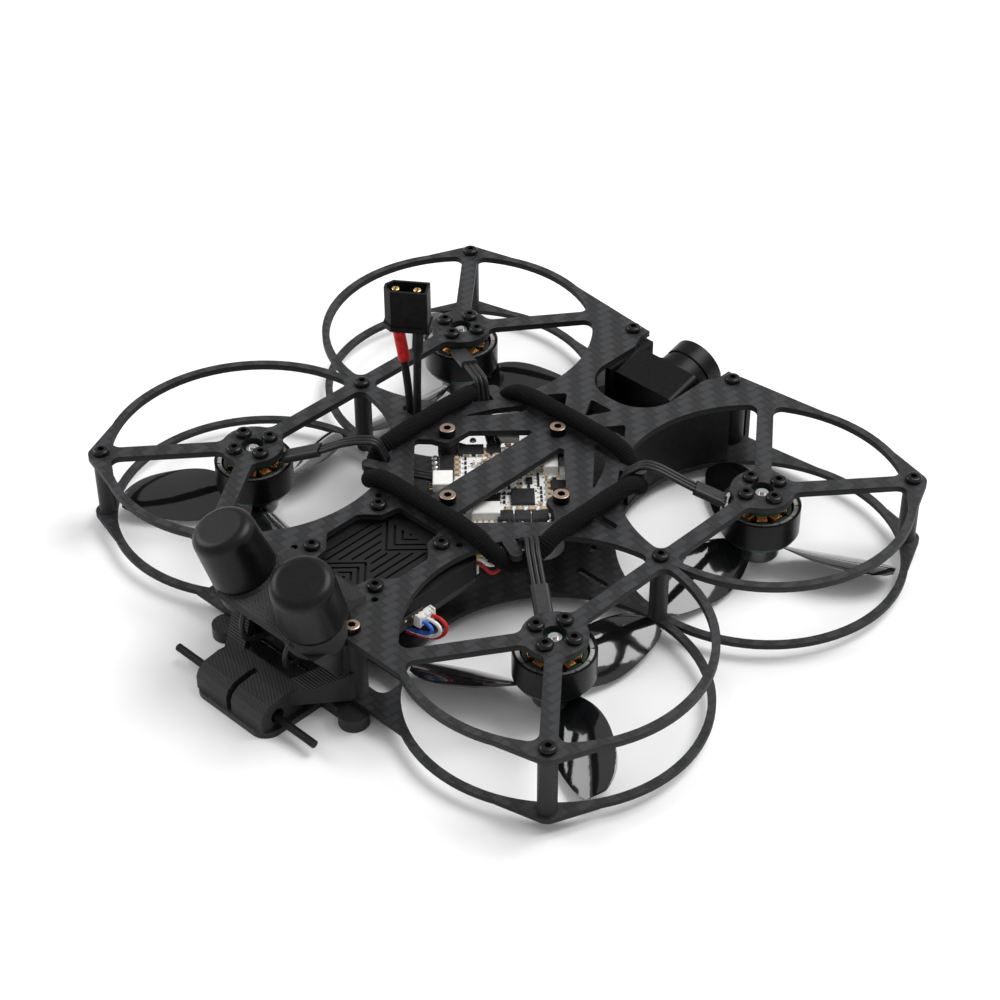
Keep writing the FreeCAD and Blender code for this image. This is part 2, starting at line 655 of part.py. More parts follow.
def propellerShape(turns):
    """Three-bladed propeller; turns is +1 for one hand and -1 for the other."""
    height = size("bladeHeight")
    tip = size("propRadius")
    stations = [(4.1, 4.4, 40, 0.8, 0.2), (7.0, 8.4, 38, 0.6, 0.4), (12.0, 12.4, 32, 0.3, 0.6),
                (18.0, 13.4, 26, 0.1, 0.5), (24.0, 11.8, 22, 0.0, 0.2), (28.5, 9.0, 20, 0.0, -0.4), (tip, 4.4, 19, 0.0, -1.4)]
    blade = Part.makeLoft([bladeSection(r, chord, pitch, height + rise, sweep)
                           for r, chord, pitch, rise, sweep in stations], True, False)
    hub = rod(0, 0, size("hubFloor"), bellFloor - 0.05, size("hubRadius"))
    hub = hub.makeFillet(0.8, [edge for edge in hub.Edges if edge.Length > 20])
    whole = hub
    for step in range(3):
        one = blade.copy()
        one.rotate(Vector(0, 0, 0), Vector(0, 0, 1), 120 * step)
        whole = whole.fuse(one)
    whole = whole.cut(rod(0, 0, size("hubFloor") - 1, bellFloor + 1, 0.76))
    for side in (1, -1):
        whole = whole.cut(rod(side * 2.5, 0, size("hubFloor") - 1, bellFloor + 1, 0.96))
    if len(whole.Solids) != 1:
        raise RuntimeError("the propeller is not one piece")
    if turns < 0:
        whole = whole.mirror(Vector(0, 0, 0), Vector(0, 1, 0))
    return whole


def shaftParts():
    clip = rod(0, 0, -1.3, -0.9, 1.5).cut(rod(0, 0, -1.4, -0.8, 0.75))
    parts = [rod(0, 0, -18.6, -0.4, size("shaftRadius")), clip]
    hole = rod(0, 0, -19, -11, 0.95)
    for side in (1, -1):
        head = rod(side * 2.5, 0, -19.1, size("hubFloor"), 1.55)
        stem = rod(side * 2.5, 0, size("hubFloor") - 0.2, bellFloor + 0.6, 0.93)
        socket = hexPrism(0.6, -19.3, -18.5)
        socket.translate(Vector(side * 2.5, 0, 0))
        parts.append(head.fuse(stem).cut(socket).removeSplitter())
    return parts


baseParts = motorBase()
coreParts = statorParts()
bell = bellBody()
magnets = magnetRing()
shaft = shaftParts()
bellHoles = [rod(side * 2.5, 0, bellFloor - 1, bellFloor + 2, 0.95) for side in (1, -1)]


def placedAt(parts, x, y, turn=0, flip=False):
    result = []
    for part in parts:
        one = part.copy()
        if flip:
            one = one.mirror(Vector(0, 0, 0), Vector(0, 1, 0))
        one.rotate(Vector(0, 0, 0), Vector(0, 0, 1), turn)
        one.translate(Vector(x, y, 0))
        result.append(one)
    return result


for (sx, sy), name in zip(corners, cornerNames):
    x, y = sx * motorX, sy * motorY
    spin = sx * sy * -1
    turn = bladeAngles[name]
    bases = []
    for part in baseParts:
        one = part.copy()
        if sx < 0:
            one = one.mirror(Vector(0, 0, 0), Vector(1, 0, 0))
        if sy < 0:
            one = one.mirror(Vector(0, 0, 0), Vector(0, 1, 0))
        one.translate(Vector(x, y, 0))
        bases.append(one)
    group("motor_base_" + name, bases)
    group("stator_" + name, placedAt(coreParts, x, y, 12))
    drilled = bell.cut(bellHoles[0]).cut(bellHoles[1])
    group("bell_" + name, placedAt([drilled], x, y, turn))
    group("magnets_" + name, placedAt(magnets, x, y, turn))
    group("shaft_" + name, placedAt(shaft, x, y, turn))
    group("propeller_" + name, placedAt([propellerShape(spin)], x, y, turn))

# ---- motor leads --------------------------------------------------------------

leadRoutes = {
    "front_left": [0.9, (42.6, -28.3), (38.0, -24.0), (29.5, -19.2), (23.6, -16.6), (22.35, -16.1)],
    "rear_left": [0.12, (41.7, 30.4), (34.5, 26.2), (28.4, 21.6), (23.6, 17.4), (22.3, 16.5)],
    "rear_right": [0.12, (-41.7, 30.7), (-36.5, 26.8), (-29.5, 21.6), (-26.4, 18.6), (-22.35, 16.5)],
    "front_right": [-0.06, (-42.9, -27.5), (-36.5, -23.4), (-29.5, -19.6), (-26.4, -18.0), (-22.35, -16.1)],
}
leadHeights = [-2.45, 0.7, 4.3, 4.7, 1.0]
wireRadius = 0.52


def motorLeads(route, sx, sy):
    """Three wires side by side, with a flat sleeve over their first stretch."""
    sleeveEnd = route[0]
    spots = [Vector(x, y, z) for (x, y), z in zip(route[1:], leadHeights)]
    spots += [Vector(sx * 21.3, sy * 15.4, -3.5), Vector(sx * 11.4, sy * 8.6, -4.5)]
    heading = spots[2] - spots[0]
    side = Vector(-heading.y, heading.x, 0).normalize()
    solids = []
    for place in (-1, 0, 1):
        shifted = [spot + side * (1.08 * place) for spot in spots]
        solids.append(tube([(spot.x, spot.y, spot.z) for spot in shifted], wireRadius))
    start = spots[0] + (spots[1] - spots[0]) * 0.1
    run = spots[1] + (spots[2] - spots[1]) * sleeveEnd - start
    sleeve = Part.makeBox(run.Length, 4.1, 1.9, Vector(0, -2.05, -0.95))
    sleeve = sleeve.makeFillet(0.7, [edge for edge in sleeve.Edges if abs(edge.Length - run.Length) < 1e-3])
    across = Vector(-run.y, run.x, 0).normalize()
    sleeve.Placement = Placement(start, Rotation(run, across, Vector(0, 0, 1), "XYZ"))
    for wire in list(solids):
        sleeve = sleeve.cut(wire)
    solids.append(max(sleeve.Solids, key=lambda solid: solid.Volume))
    return solids


for (sx, sy), name in zip(corners, cornerNames):
    group("motor_leads_" + name, motorLeads(leadRoutes[name], sx, sy))

# ---- camera and its mount -----------------------------------------------------

cameraY = size("cameraY")
cameraZ = size("cameraZ")
half = size("cameraHalf")
earInner = 9.8
earOuter = 11.6


def mountSide(sx):
    """Half of the mount: a curved wall, an ear, a base web and a foot."""
    x, y = sx * motorX, -motorY
    wall = rod(x, y, lowTop, topFloor, 34.2).cut(rod(x, y, lowTop - 1, topFloor + 1, 32.9))
    keep = prism([(sx * 10, -25), (sx * 28, -25), (sx * 28, -54.5), (sx * 10, -54.5)], lowTop, topFloor)
    wall = wall.common(keep)
    near, far = sorted((sx * earInner, sx * earOuter))
    ear = block(near, far, -62.0, -47.5, lowTop, topFloor)
    web = prism([(sx * earInner, -62), (sx * earInner, -47.5), (sx * 16.0, -45.0), (sx * 20.5, -52.5),
                 (sx * 17.5, -60.0)], lowTop, lowTop + 1.6)
    web = web.cut(rod(x, y, lowTop - 1, topFloor + 1, 32.9))
    px, py = sx * size("frontX"), -size("frontY")
    sleeve = rod(px, py, lowTop, topFloor, 3.5)
    link = block(min(sx * 10, sx * 16), max(sx * 10, sx * 16), -63.4, -60.4, lowTop, topFloor)
    lip = block(min(sx * 13.2, sx * 18.4), max(sx * 13.2, sx * 18.4), -67.2, -65.7, -20.7, topFloor - 3)
    foot = prism([(sx * 12.6, -67.2, 2), (sx * 19.0, -67.2, 2), (sx * 19.0, -59.2, 3), (sx * 12.6, -59.2, 3)],
                 -20.7, lowFloor)
    whole = wall
    for piece in (ear, web, sleeve, link, lip, foot):
        whole = whole.fuse(piece)
    whole = whole.cut(rod(px, py, lowTop - 0.1, topFloor + 1, 2.12))
    whole = whole.cut(rod(px, py, -21, lowFloor + 0.1, 2.0))
    bore = Part.makeCylinder(1.05, 6, Vector(sx * 8, cameraY, cameraZ), Vector(sx, 0, 0))
    return whole.cut(bore).removeSplitter()


leftSide = mountSide(1)
rightSide = leftSide.mirror(Vector(0, 0, 0), Vector(1, 0, 0))
bridge = block(-11.6, 11.6, -46.5, -44.6, lowTop, lowTop + 1.6)
for sx in (1, -1):
    near, far = sorted((sx * 9.8, sx * 13.4))
    bridge = bridge.fuse(block(near, far, -48, -44.6, lowTop, lowTop + 1.6))
shaped("camera_mount", leftSide.fuse(rightSide).fuse(bridge).removeSplitter())

tilt = Placement(Vector(0, cameraY, cameraZ), Rotation(Vector(1, 0, 0), -size("cameraTilt")))
caseDepth = 9.5
caseBody = newBody("camera_case")
caseSquare = outline([(-half, -half, 1.5), (half, -half, 1.5), (half, half, 1.5), (-half, half, 1.5)])
caseSide = sketch(caseBody, "caseSideProfile", caseSquare, -caseDepth / 2, "XZ_Plane")
pad(caseBody, "caseBlock", caseSide, caseDepth)
neckRing = sketch(caseBody, "neckProfile", circle(0, 0, 8.2), caseDepth / 2, "XZ_Plane")
pad(caseBody, "caseNeck", neckRing, 1.6)
backPlate = sketch(caseBody, "backProfile", outline([(-6.5, -7.5, 0.6), (6.5, -7.5, 0.6), (6.5, -2.6, 0.6),
                                                     (-6.5, -2.6, 0.6)]), -caseDepth / 2 - 1.5, "XZ_Plane")
pad(caseBody, "backSocket", backPlate, 1.6)
tiltHole = sketch(caseBody, "tiltHoleProfile", circle(0, 0, 1.0), -12, "YZ_Plane")
pocket(caseBody, "tiltBore", tiltHole, 24).Reversed = True
caseBody.Placement = tilt
finish(caseBody)


def turned(points):
    """Part turned about the lens axis from (radius, distance in front) points."""
    profile = [(radius, -ahead) + tuple(bend) for radius, ahead, *bend in points]
    wire = Part.Wire([edge.toShape() for edge in outline(profile)])
    return Part.Face(wire).revolve(Vector(0, 0, 0), Vector(0, 1, 0), 360)


barrel = turned([(5.2, 6.35), (7.0, 6.35), (7.0, 9.6), (6.6, 9.9), (6.6, 10.6), (7.0, 10.9), (7.0, 15.0, 0.4),
                 (6.2, 15.5, 0.1), (5.2, 13.6)])
glass = turned([(0, 6.4), (5.15, 6.4), (5.15, 13.4), (3.0, 14.3, 4), (0, 14.6)])
shaped("lens_barrel", barrel, tilt)
shaped("lens_glass", glass, tilt)
tiltScrews = []
for side in (1, -1):
    one = buttonMaster.copy()
    one.rotate(Vector(0, 0, 0), Vector(0, 1, 0), 90 * side)
    one.translate(Vector(side * earOuter, 0, 0))
    tiltScrews.append(one)
screwGroup = Part.makeCompound(tiltScrews)
shaped("camera_screws", screwGroup, tilt)

# ---- antenna mount, caps, rear clamp and receiver antenna ----------------------

capBase = Vector(10.8, 68.3, 4.1)
capAxis = Vector(0.135, 0.31, 1).normalize()
capRadius = 7.4
capLength = 13.8
px, py = size("rearX"), size("rearY")
slopeProfile = [(65.5, -9.0), (68.0, -9.0), (76.1, 1.3), (75.3, 1.93), (61.4, 6.24), (58.0, 2.2), (54.0, 1.3),
                (54.0, 0.05), (65.5, 0.05)]


def alongX(points, x1, x2):
    """Prism along X from (y, z) points."""
    marks = [Vector(x1, y, z) for y, z in points]
    return Part.Face(Part.makePolygon(marks + [marks[0]])).extrude(Vector(x2 - x1, 0, 0))


holder = alongX(slopeProfile, -11.6, 11.6)
holder = holder.fuse(alongX([(65.5, -9.0), (68.0, -9.0), (74.0, -1.4), (65.5, -1.4)], -17.0, 17.0))
for sx in (1, -1):
    base = Vector(sx * capBase.x, capBase.y, capBase.z)
    axis = Vector(sx * capAxis.x, capAxis.y, capAxis.z)
    cup = Part.makeCylinder(capRadius + 0.1, 5.6, base - axis * 5.6, axis)
    holder = holder.fuse(cup)
    holder = holder.cut(Part.makeCylinder(capRadius + 3, 9, base, axis))
    link = block(min(sx * 13.6, sx * 18), max(sx * 13.6, sx * 18), 62.6, 66.5, -9.0, topFloor)
    holder = holder.fuse(link).fuse(rod(sx * px, py, -9.0, topFloor, 2.9))
over = block(-40, 40, 40, 65.45, topFloor, 0.04)
holder = holder.cut(over)
for sx in (1, -1):
    holder = holder.cut(rod(sx * px, py, -10, 0, 2.12))
    holder = holder.cut(rod(sx * px, py, 0, 12, 2.3))
shaped("antenna_mount", holder.removeSplitter())

cap = newBody("capMasterBody")
revolve(cap, "capTurned", [(0, 0), (capRadius, 0, 0.7), (capRadius - 0.5, capLength, 2.4), (0, capLength)])
doc.recompute()
for sx, name in ((1, "left"), (-1, "right")):
    axis = Vector(sx * capAxis.x, capAxis.y, capAxis.z)
    place = Placement(Vector(sx * capBase.x, capBase.y, capBase.z), Rotation(Vector(0, 0, 1), axis))
    shaped("antenna_cap_" + name, cap.Shape.copy(), place)

rodY = 79.5
rodZ = -17.6
knuckleProfile = [(72.5, -19.2), (72.5, -13.2), (77.5, -12.6), (81.6, -13.2), (83.3, -14.4), (84.0, -16.0),
                  (84.0, -19.2)]
clamp = alongX(knuckleProfile, -10.5, 10.5)
armSlope = alongX([(62.0, -16.5), (62.0, -9.0), (65.6, -9.3), (73.0, -13.0), (77.0, -13.0),
                   (77.0, -16.5)], -22, 22)
for sx in (1, -1):
    arm = prism([(sx * 14.4, 63.4), (sx * 18.6, 63.4), (sx * 18.6, 66.0), (sx * 10.4, 76.0), (sx * 5.0, 76.0)],
                lowTop, -9.0).common(armSlope)
    clamp = clamp.fuse(arm).fuse(rod(sx * px, py, lowTop, -9.0, 2.9))
    clamp = clamp.fuse(rod(sx * 20.5, 67.0, -20.7, lowFloor, 3.4))
clamp = clamp.fuse(block(-20.5, 20.5, 65.6, 68.6, -20.7, lowFloor))
clamp = clamp.fuse(prism([(-12.0, 66.0), (12.0, 66.0), (12.0, 84.6, 4), (-12.0, 84.6, 4)], -20.7, -19.2))
clamp = clamp.fuse(block(-6.0, 6.0, 67.0, 75.5, -20.2, -17.75))
for sx in (1, -1):
    clamp = clamp.cut(rod(sx * px, py, lowTop - 0.1, -8, 2.12))
clamp = clamp.cut(block(-0.75, 0.75, 75.6, 85, -19.2, -10))
clamp = clamp.cut(Part.makeCylinder(1.7, 30, Vector(-15, rodY, rodZ + 0.8), Vector(1, 0, 0)))
shaped("rear_clamp", clamp.removeSplitter())
shaped("receiver_antenna", Part.makeCylinder(0.9, 44, Vector(-22, rodY, rodZ), Vector(1, 0, 0)))
coax = []
for sx in (1, -1):
    coax.append(tube([(sx * 5.0, vtxBack, -8.5), (sx * 5.0, 61.0, -8.7), (sx * 5.6, 67.6, -11.6),
                      (sx * 6.4, 73.0, -10.6), (sx * 7.0, 73.6, -5.6), (sx * 7.4, 71.0, -2.0)], size("coaxRadius")))
group("antenna_leads", coax)

# ---- elastic strap ------------------------------------------------------------

strapLeft = 23.7
strapRight = -27.0
strapFront = -21.9
strapRear = 24.2
strapZ = 2.45
strapRoute = [(0, strapRear, strapZ)]


def strapCorner(sx, sy, sideX, endY):
    """Down beside the hook, under it and up again, going from the side to the end."""
    outer = max(abs(sideX) + 0.2, 25.2)
    return [(sideX, sy * 12.2, strapZ), (sx * outer, sy * 16.0, 0.2), (sx * 22.8, sy * 20.4, -4.9),
            (sx * 18.8, endY, 0.2), (sx * 15.0, endY, strapZ)]


strapRoute += strapCorner(-1, 1, strapRight, strapRear)[::-1]
strapRoute += strapCorner(-1, -1, strapRight, strapFront)
strapRoute += strapCorner(1, -1, strapLeft, strapFront)[::-1]
strapRoute += strapCorner(1, 1, strapLeft, strapRear)
strapRoute.append((0.25, strapRear, strapZ))
strap = tube(strapRoute, size("strapRadius"))
joint = Part.makeCylinder(size("strapRadius") + 0.1, 3.0, Vector(-1.4, strapRear, strapZ), Vector(1, 0, 0))
shaped("battery_strap", strap.fuse(joint))

# ---- battery leads and plug ---------------------------------------------------

plugX = 30.5
plugFloor = 24.3
plugTop = 34.9
plugAngle = 35.8
pinGap = 2.5
broad = Vector(*polar(pinGap, plugAngle), 0)
negativeRoute = [(15.2, -4.4, -7.4), (28.9, -0.9, -7.4), (29.05, -0.8, 8.0),
                 (plugX - broad.x, -broad.y, plugFloor + 1.0)]
positiveRoute = [(11.4, -9.2, -7.4), (31.4, -0.8, -9.0), (31.4, -0.7, 8.0),
                 (plugX + broad.x, broad.y, plugFloor + 1.0)]
lead = size("leadRadius") - 0.1
negativeLead = tube(negativeRoute, lead)
positiveLead = tube(positiveRoute, lead)
shaped("battery_lead_negative", negativeLead)
shaped("battery_lead_positive", positiveLead)
high = Vector(*positiveRoute[3])
direction = (high - Vector(*positiveRoute[2])).normalize()
shrink = Part.makeCylinder(1.4, 9.4, high - direction * 10.6, direction)
shaped("lead_shrink", shrink.cut(Part.makeCylinder(lead, 12, high - direction * 11.5, direction)))
low = Vector(*negativeRoute[3])
direction = (low - Vector(*negativeRoute[2])).normalize()
shrink = Part.makeCylinder(1.3, 6.4, low - direction * 7.6, direction)
shaped("lead_shrink_negative", shrink.cut(Part.makeCylinder(lead, 9, low - direction * 8.5, direction)))
plugShape = prism([(-5.1, -2.6, 0.4), (3.4, -2.6), (5.1, -0.9), (5.1, 0.9), (3.4, 2.6), (-5.1, 2.6, 0.4)],
                  plugFloor, plugTop)
cavity = prism([(-4.5, -2.0), (3.1, -2.0), (4.5, -0.6), (4.5, 0.6), (3.1, 2.0), (-4.5, 2.0)], 28.6, plugTop + 1)
skirt = prism([(-5.5, -2.95, 0.3), (3.5, -2.95), (5.5, -1.0), (5.5, 1.0), (3.5, 2.95), (-5.5, 2.95, 0.3)],
              plugFloor, plugFloor + 1.3)
plugShape = plugShape.fuse(skirt).cut(cavity).removeSplitter()
for side in (1, -1):
    plugShape = plugShape.cut(rod(side * pinGap, 0, 26.0, 29.5, 1.0))
plugShape.Placement = Placement(Vector(plugX, 0, 0), Rotation(Vector(0, 0, 1), plugAngle))
for solid in (negativeLead, positiveLead):
    plugShape = plugShape.cut(solid)
shaped("battery_plug", plugShape)
pins = []
for side in (1, -1):
    pin = rod(side * pinGap, 0, 26.0, 34.5, 0.98)
    slit = block(side * pinGap - 0.12, side * pinGap + 0.12, -2, 2, 30.0, 36)
    pin = pin.makeFillet(0.35, [pin.Edges[0]]).cut(slit)
    pins.append(pin)
plugPlace = Placement(Vector(plugX, 0, 0), Rotation(Vector(0, 0, 1), plugAngle))
shaped("plug_pins", Part.makeCompound(pins), plugPlace)

# ---- export -------------------------------------------------------------------


def export():
    doc.recompute()
    for item in doc.Objects:
        if "Invalid" in item.State or "Error" in item.State:
            raise RuntimeError(item.Name + " failed: " + str(item.State))
    os.makedirs("parts", exist_ok=True)
    for node in nodes:
        if node.Shape.isNull() or not node.Shape.isValid():
            raise RuntimeError(node.Label + " has no valid shape")
        node.Shape.exportStep(os.path.join("parts", node.Label + ".step"))
        print(node.Label, len(node.Shape.Solids), round(node.Shape.Volume, 1))


export()
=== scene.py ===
import json
import math
import random

import bpy
from mathutils import Matrix, Vector


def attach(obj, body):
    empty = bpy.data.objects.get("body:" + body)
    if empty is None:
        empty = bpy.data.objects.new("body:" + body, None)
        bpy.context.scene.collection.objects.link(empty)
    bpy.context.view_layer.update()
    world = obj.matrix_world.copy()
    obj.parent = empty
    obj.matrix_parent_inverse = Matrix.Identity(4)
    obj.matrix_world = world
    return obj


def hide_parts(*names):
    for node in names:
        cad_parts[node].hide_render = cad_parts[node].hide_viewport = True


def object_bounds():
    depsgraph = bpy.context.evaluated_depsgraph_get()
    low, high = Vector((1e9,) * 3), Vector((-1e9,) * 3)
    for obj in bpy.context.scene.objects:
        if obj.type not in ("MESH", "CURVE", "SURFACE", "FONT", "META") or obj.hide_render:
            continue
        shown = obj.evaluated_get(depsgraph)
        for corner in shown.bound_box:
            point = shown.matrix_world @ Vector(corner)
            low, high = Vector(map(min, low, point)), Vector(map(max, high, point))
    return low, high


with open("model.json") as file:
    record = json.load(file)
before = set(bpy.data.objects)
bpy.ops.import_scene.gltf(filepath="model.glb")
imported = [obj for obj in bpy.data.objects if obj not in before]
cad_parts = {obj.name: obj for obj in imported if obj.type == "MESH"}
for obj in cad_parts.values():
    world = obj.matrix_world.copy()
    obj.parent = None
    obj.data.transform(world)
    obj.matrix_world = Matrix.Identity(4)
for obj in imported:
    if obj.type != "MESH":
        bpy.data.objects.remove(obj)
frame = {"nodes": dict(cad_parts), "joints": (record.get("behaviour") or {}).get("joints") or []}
cadBox = [list(corner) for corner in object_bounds()]
nodes = frame["nodes"]
motorNames = ["front_left", "rear_left", "rear_right", "front_right"]
motorPlaces = {}
for joint in frame["joints"]:
    if joint["name"].endswith("_spin"):
        motorPlaces[joint["name"][:-5]] = Vector(joint["pos_m"])
mm = 0.001
print("frame loaded:", len(nodes), "nodes")


# shader nodes written as sums

class Signal:
    def __init__(self, paint, socket):
        self.paint = paint
        self.socket = socket

    def math(self, operation, *others):
        return self.paint.node("ShaderNodeMath", {"operation": operation}, [self, *others])

    def __add__(self, other):
        return self.math("ADD", other)

    def __sub__(self, other):
        return self.math("SUBTRACT", other)

    def __mul__(self, other):
        return self.math("MULTIPLY", other)

    def __truediv__(self, other):
        return self.math("DIVIDE", other)

    def __mod__(self, other):
        return self.math("FLOORED_MODULO", other)

    def __gt__(self, other):
        return self.math("GREATER_THAN", other)

    def __lt__(self, other):
        return self.math("LESS_THAN", other)

    def __radd__(self, other):
        return self.paint.node("ShaderNodeMath", {"operation": "ADD"}, [other, self])

    def __rsub__(self, other):
        return self.paint.node("ShaderNodeMath", {"operation": "SUBTRACT"}, [other, self])

    def __rmul__(self, other):
        return self.paint.node("ShaderNodeMath", {"operation": "MULTIPLY"}, [other, self])

    def between(self, low, high, outLow=0.0, outHigh=1.0):
        return self.paint.node("ShaderNodeMapRange", {"clamp": True}, [self, low, high, outLow, outHigh])


class Paint:
    def __init__(self, name, color, roughness, metallic=0.0):
        self.material = bpy.data.materials.new(name)
        self.material.use_nodes = True
        self.tree = self.material.node_tree
        self.shader = self.tree.nodes["Principled BSDF"]
        self.set("Base Color", (*color, 1.0))
        self.set("Roughness", roughness)
        self.set("Metallic", metallic)
        self.place = self.node("ShaderNodeTexCoord", output="Object")

    def node(self, kind, settings=None, inputs=None, output=0):
        made = self.tree.nodes.new(kind)
        for key, value in (settings or {}).items():
            setattr(made, key, value)
        pairs = inputs.items() if isinstance(inputs, dict) else enumerate(inputs or [])
        for key, value in pairs:
            if isinstance(value, Signal):
                self.tree.links.new(value.socket, made.inputs[key])
            else:
                made.inputs[key].default_value = value
        return Signal(self, made.outputs[output])

    def set(self, name, value):
        if isinstance(value, Signal):
            self.tree.links.new(value.socket, self.shader.inputs[name])
        else:
            self.shader.inputs[name].default_value = value

    def axis(self, name, vector=None):
        return self.node("ShaderNodeSeparateXYZ", None, [vector or self.place], output=name)

    def noise(self, scale, detail=3.0, roughness=0.5, vector=None):
        return self.node("ShaderNodeTexNoise", None, {"Vector": vector or self.place, "Scale": scale,
                                                      "Detail": detail, "Roughness": roughness})

    def blend(self, factor, first, second):
        first = first if isinstance(first, Signal) else (*first, 1.0)
        second = second if isinstance(second, Signal) else (*second, 1.0)
        return self.node("ShaderNodeMix", {"data_type": "RGBA"}, {0: factor, 6: first, 7: second}, output=2)

    def matt(self, level, sheen=0.0):
        self.set("Specular IOR Level", level)
        self.set("Sheen Weight", sheen)
        return self

    def upright(self, edge=0.6):
        normal = self.node("ShaderNodeNewGeometry", output="Normal")
        return self.axis("Z", normal).math("ABSOLUTE") > edge

    def bump(self, height, strength=0.3, distance=0.1):
        self.set("Normal", self.node("ShaderNodeBump", None, {"Strength": strength, "Distance": distance * mm,
                                                              "Height": height}))
        return self.material


# finishes

def carbonLaminate():
    look = {"tow": 2.0 * mm, "dark": (0.0045, 0.0048, 0.0054), "light": (0.046, 0.047, 0.05),
            "ply": 0.22 * mm}
    paint = Paint("carbonLaminate", look["dark"], 0.42).matt(0.3)
    across = paint.axis("X") / look["tow"]
    along = paint.axis("Y") / look["tow"]
    step = (across.math("FLOOR") + along.math("FLOOR")) % 4
    over = step < 1.5                                         # two over, two under
    threads = over * (across * 22).math("SINE") + (1 - over) * (along * 22).math("SINE")
    gapX = (across % 1 - 0.5).math("ABSOLUTE")
    gapY = (along % 1 - 0.5).math("ABSOLUTE")
    seam = over * (gapX > 0.46) + (1 - over) * (gapY > 0.46)
    crown = over * (0.5 - gapX) + (1 - over) * (0.5 - gapY)
    flat = paint.upright()
    mottle = paint.noise(900, 4)
    # painted sheen and shade: over-running tows and tow crowns are coloured lighter and the seams between
    # tows darker, standing in for light off the twill; mottle is random tone
    sheenAndMottle = over * 0.38 + mottle * 0.34 + crown * 0.22 + threads * 0.06 - seam * 0.3
    ply = (paint.axis("Z") / look["ply"]).math("SINE") * 0.5 + 0.5
    edgeTone = ply * 0.14 + paint.noise(2600, 2) * 0.14
    tone = flat * sheenAndMottle + (1 - flat) * edgeTone
    paint.set("Base Color", paint.blend(tone, look["dark"], look["light"]))
    paint.set("Roughness", flat * (0.43 - over * 0.12 + mottle * 0.08) + (1 - flat) * 0.6)
    paint.set("Coat Weight", flat * 0.08)
    paint.set("Coat Roughness", 0.3)
    return paint.bump(flat * (crown * 0.6 + threads * 0.06) + (1 - flat) * ply * 0.25, 0.45, 0.06)


def knurledAnodising():
    look = {"pitch": 0.62 * mm, "dark": (0.012, 0.012, 0.013), "light": (0.05, 0.05, 0.053)}
    paint = Paint("knurledAnodising", look["dark"], 0.42, 0.55)
    normal = paint.node("ShaderNodeNewGeometry", output="Normal")
    turn = paint.axis("Y", normal).math("ARCTAN2", paint.axis("X", normal)) * (2.1 * mm)
    rise = paint.axis("Z")
    one = ((turn + rise) / look["pitch"] * 3.1416).math("SINE").math("ABSOLUTE")
    two = ((turn - rise) / look["pitch"] * 3.1416).math("SINE").math("ABSOLUTE")
    diamond = one.math("MINIMUM", two)
    paint.set("Base Color", paint.blend(diamond, look["dark"], look["light"]))
    paint.set("Roughness", 0.52 - diamond * 0.18)
    return paint.bump(diamond, 0.8, 0.14)


def machinedMetal(name, color, roughness, metallic=1.0, wear=0.25):
    paint = Paint(name, color, roughness, metallic)
    worn = tuple(min(1.0, part * 2.2 + 0.03) for part in color)
    patches = paint.noise(1500, 4).between(0.45, 0.75) * wear
    paint.set("Base Color", paint.blend(patches, color, worn))
    paint.set("Roughness", roughness + paint.noise(2200, 3) * 0.14 - 0.07)
    return paint.bump(paint.noise(5200, 2), 0.12, 0.03)


def bronzedHeads():
    look = {"ring": (0.5, 0.36, 0.27), "side": (0.014, 0.013, 0.013), "recess": 1.35 * mm}
    paint = Paint("bronzedHeads", look["ring"], 0.3, 0.9)
    height = paint.axis("Z")
    # painted shade: only upright faces above the hex recess take the bronze plating; side faces and the
    # recess floor are coloured near-black
    ring = paint.upright(0.7) * (height > look["recess"])
    turn = paint.noise(2600, 3)
    knurl = (paint.axis("X") * 9000).math("SINE") * (paint.axis("Y") * 9000).math("SINE")
    plating = paint.blend(turn, (0.36, 0.26, 0.2), look["ring"])
    paint.set("Base Color", paint.blend(ring, look["side"], plating))
    paint.set("Roughness", 0.42 - ring * 0.14 + turn * 0.1)
    return paint.bump((1 - ring) * knurl + turn * 0.2, 0.4, 0.04)


def bellFinish():
    look = {"black": (0.012, 0.012, 0.013), "green": (0.006, 0.045, 0.028), "bandTop": -10.55 * mm}
    paint = Paint("bellAnodising", look["black"], 0.28, 0.75)
    height = paint.axis("Z")
    band = height < look["bandTop"]
    turning = (height * 26000).math("SINE") * 0.5 + 0.5
    paint.set("Base Color", paint.blend(band, look["black"], look["green"]))
    paint.set("Roughness", 0.24 + turning * 0.06 + paint.noise(1800) * 0.08)
    return paint.bump(turning, 0.12, 0.02)


def greenAnodising():
    paint = Paint("greenAnodising", (0.008, 0.05, 0.032), 0.34, 0.8)
    tone = paint.noise(1400, 3).between(0.3, 0.8)
    paint.set("Base Color", paint.blend(tone, (0.006, 0.042, 0.026), (0.014, 0.085, 0.052)))
    return paint.bump(paint.noise(4200, 2), 0.1, 0.02)


def laminatedCore():
    paint = Paint("statorCoating", (0.01, 0.03, 0.022), 0.4)
    stack = (paint.axis("Z") * 31416 / 2).math("SINE") * 0.5 + 0.5
    tone = paint.noise(2400, 3) * 0.6 + stack * 0.3
    paint.set("Base Color", paint.blend(tone, (0.008, 0.03, 0.02), (0.03, 0.075, 0.055)))
    return paint.bump(stack, 0.3, 0.03)


def enamelledCopper():
    paint = Paint("enamelledCopper", (0.6, 0.22, 0.06), 0.24, 0.9)
    tone = paint.noise(1700, 3).between(0.3, 0.75)
    paint.set("Base Color", paint.blend(tone, (0.42, 0.13, 0.03), (0.78, 0.34, 0.1)))
    paint.set("Roughness", 0.2 + tone * 0.14)
    return paint.bump(paint.noise(5200, 2), 0.1, 0.02)


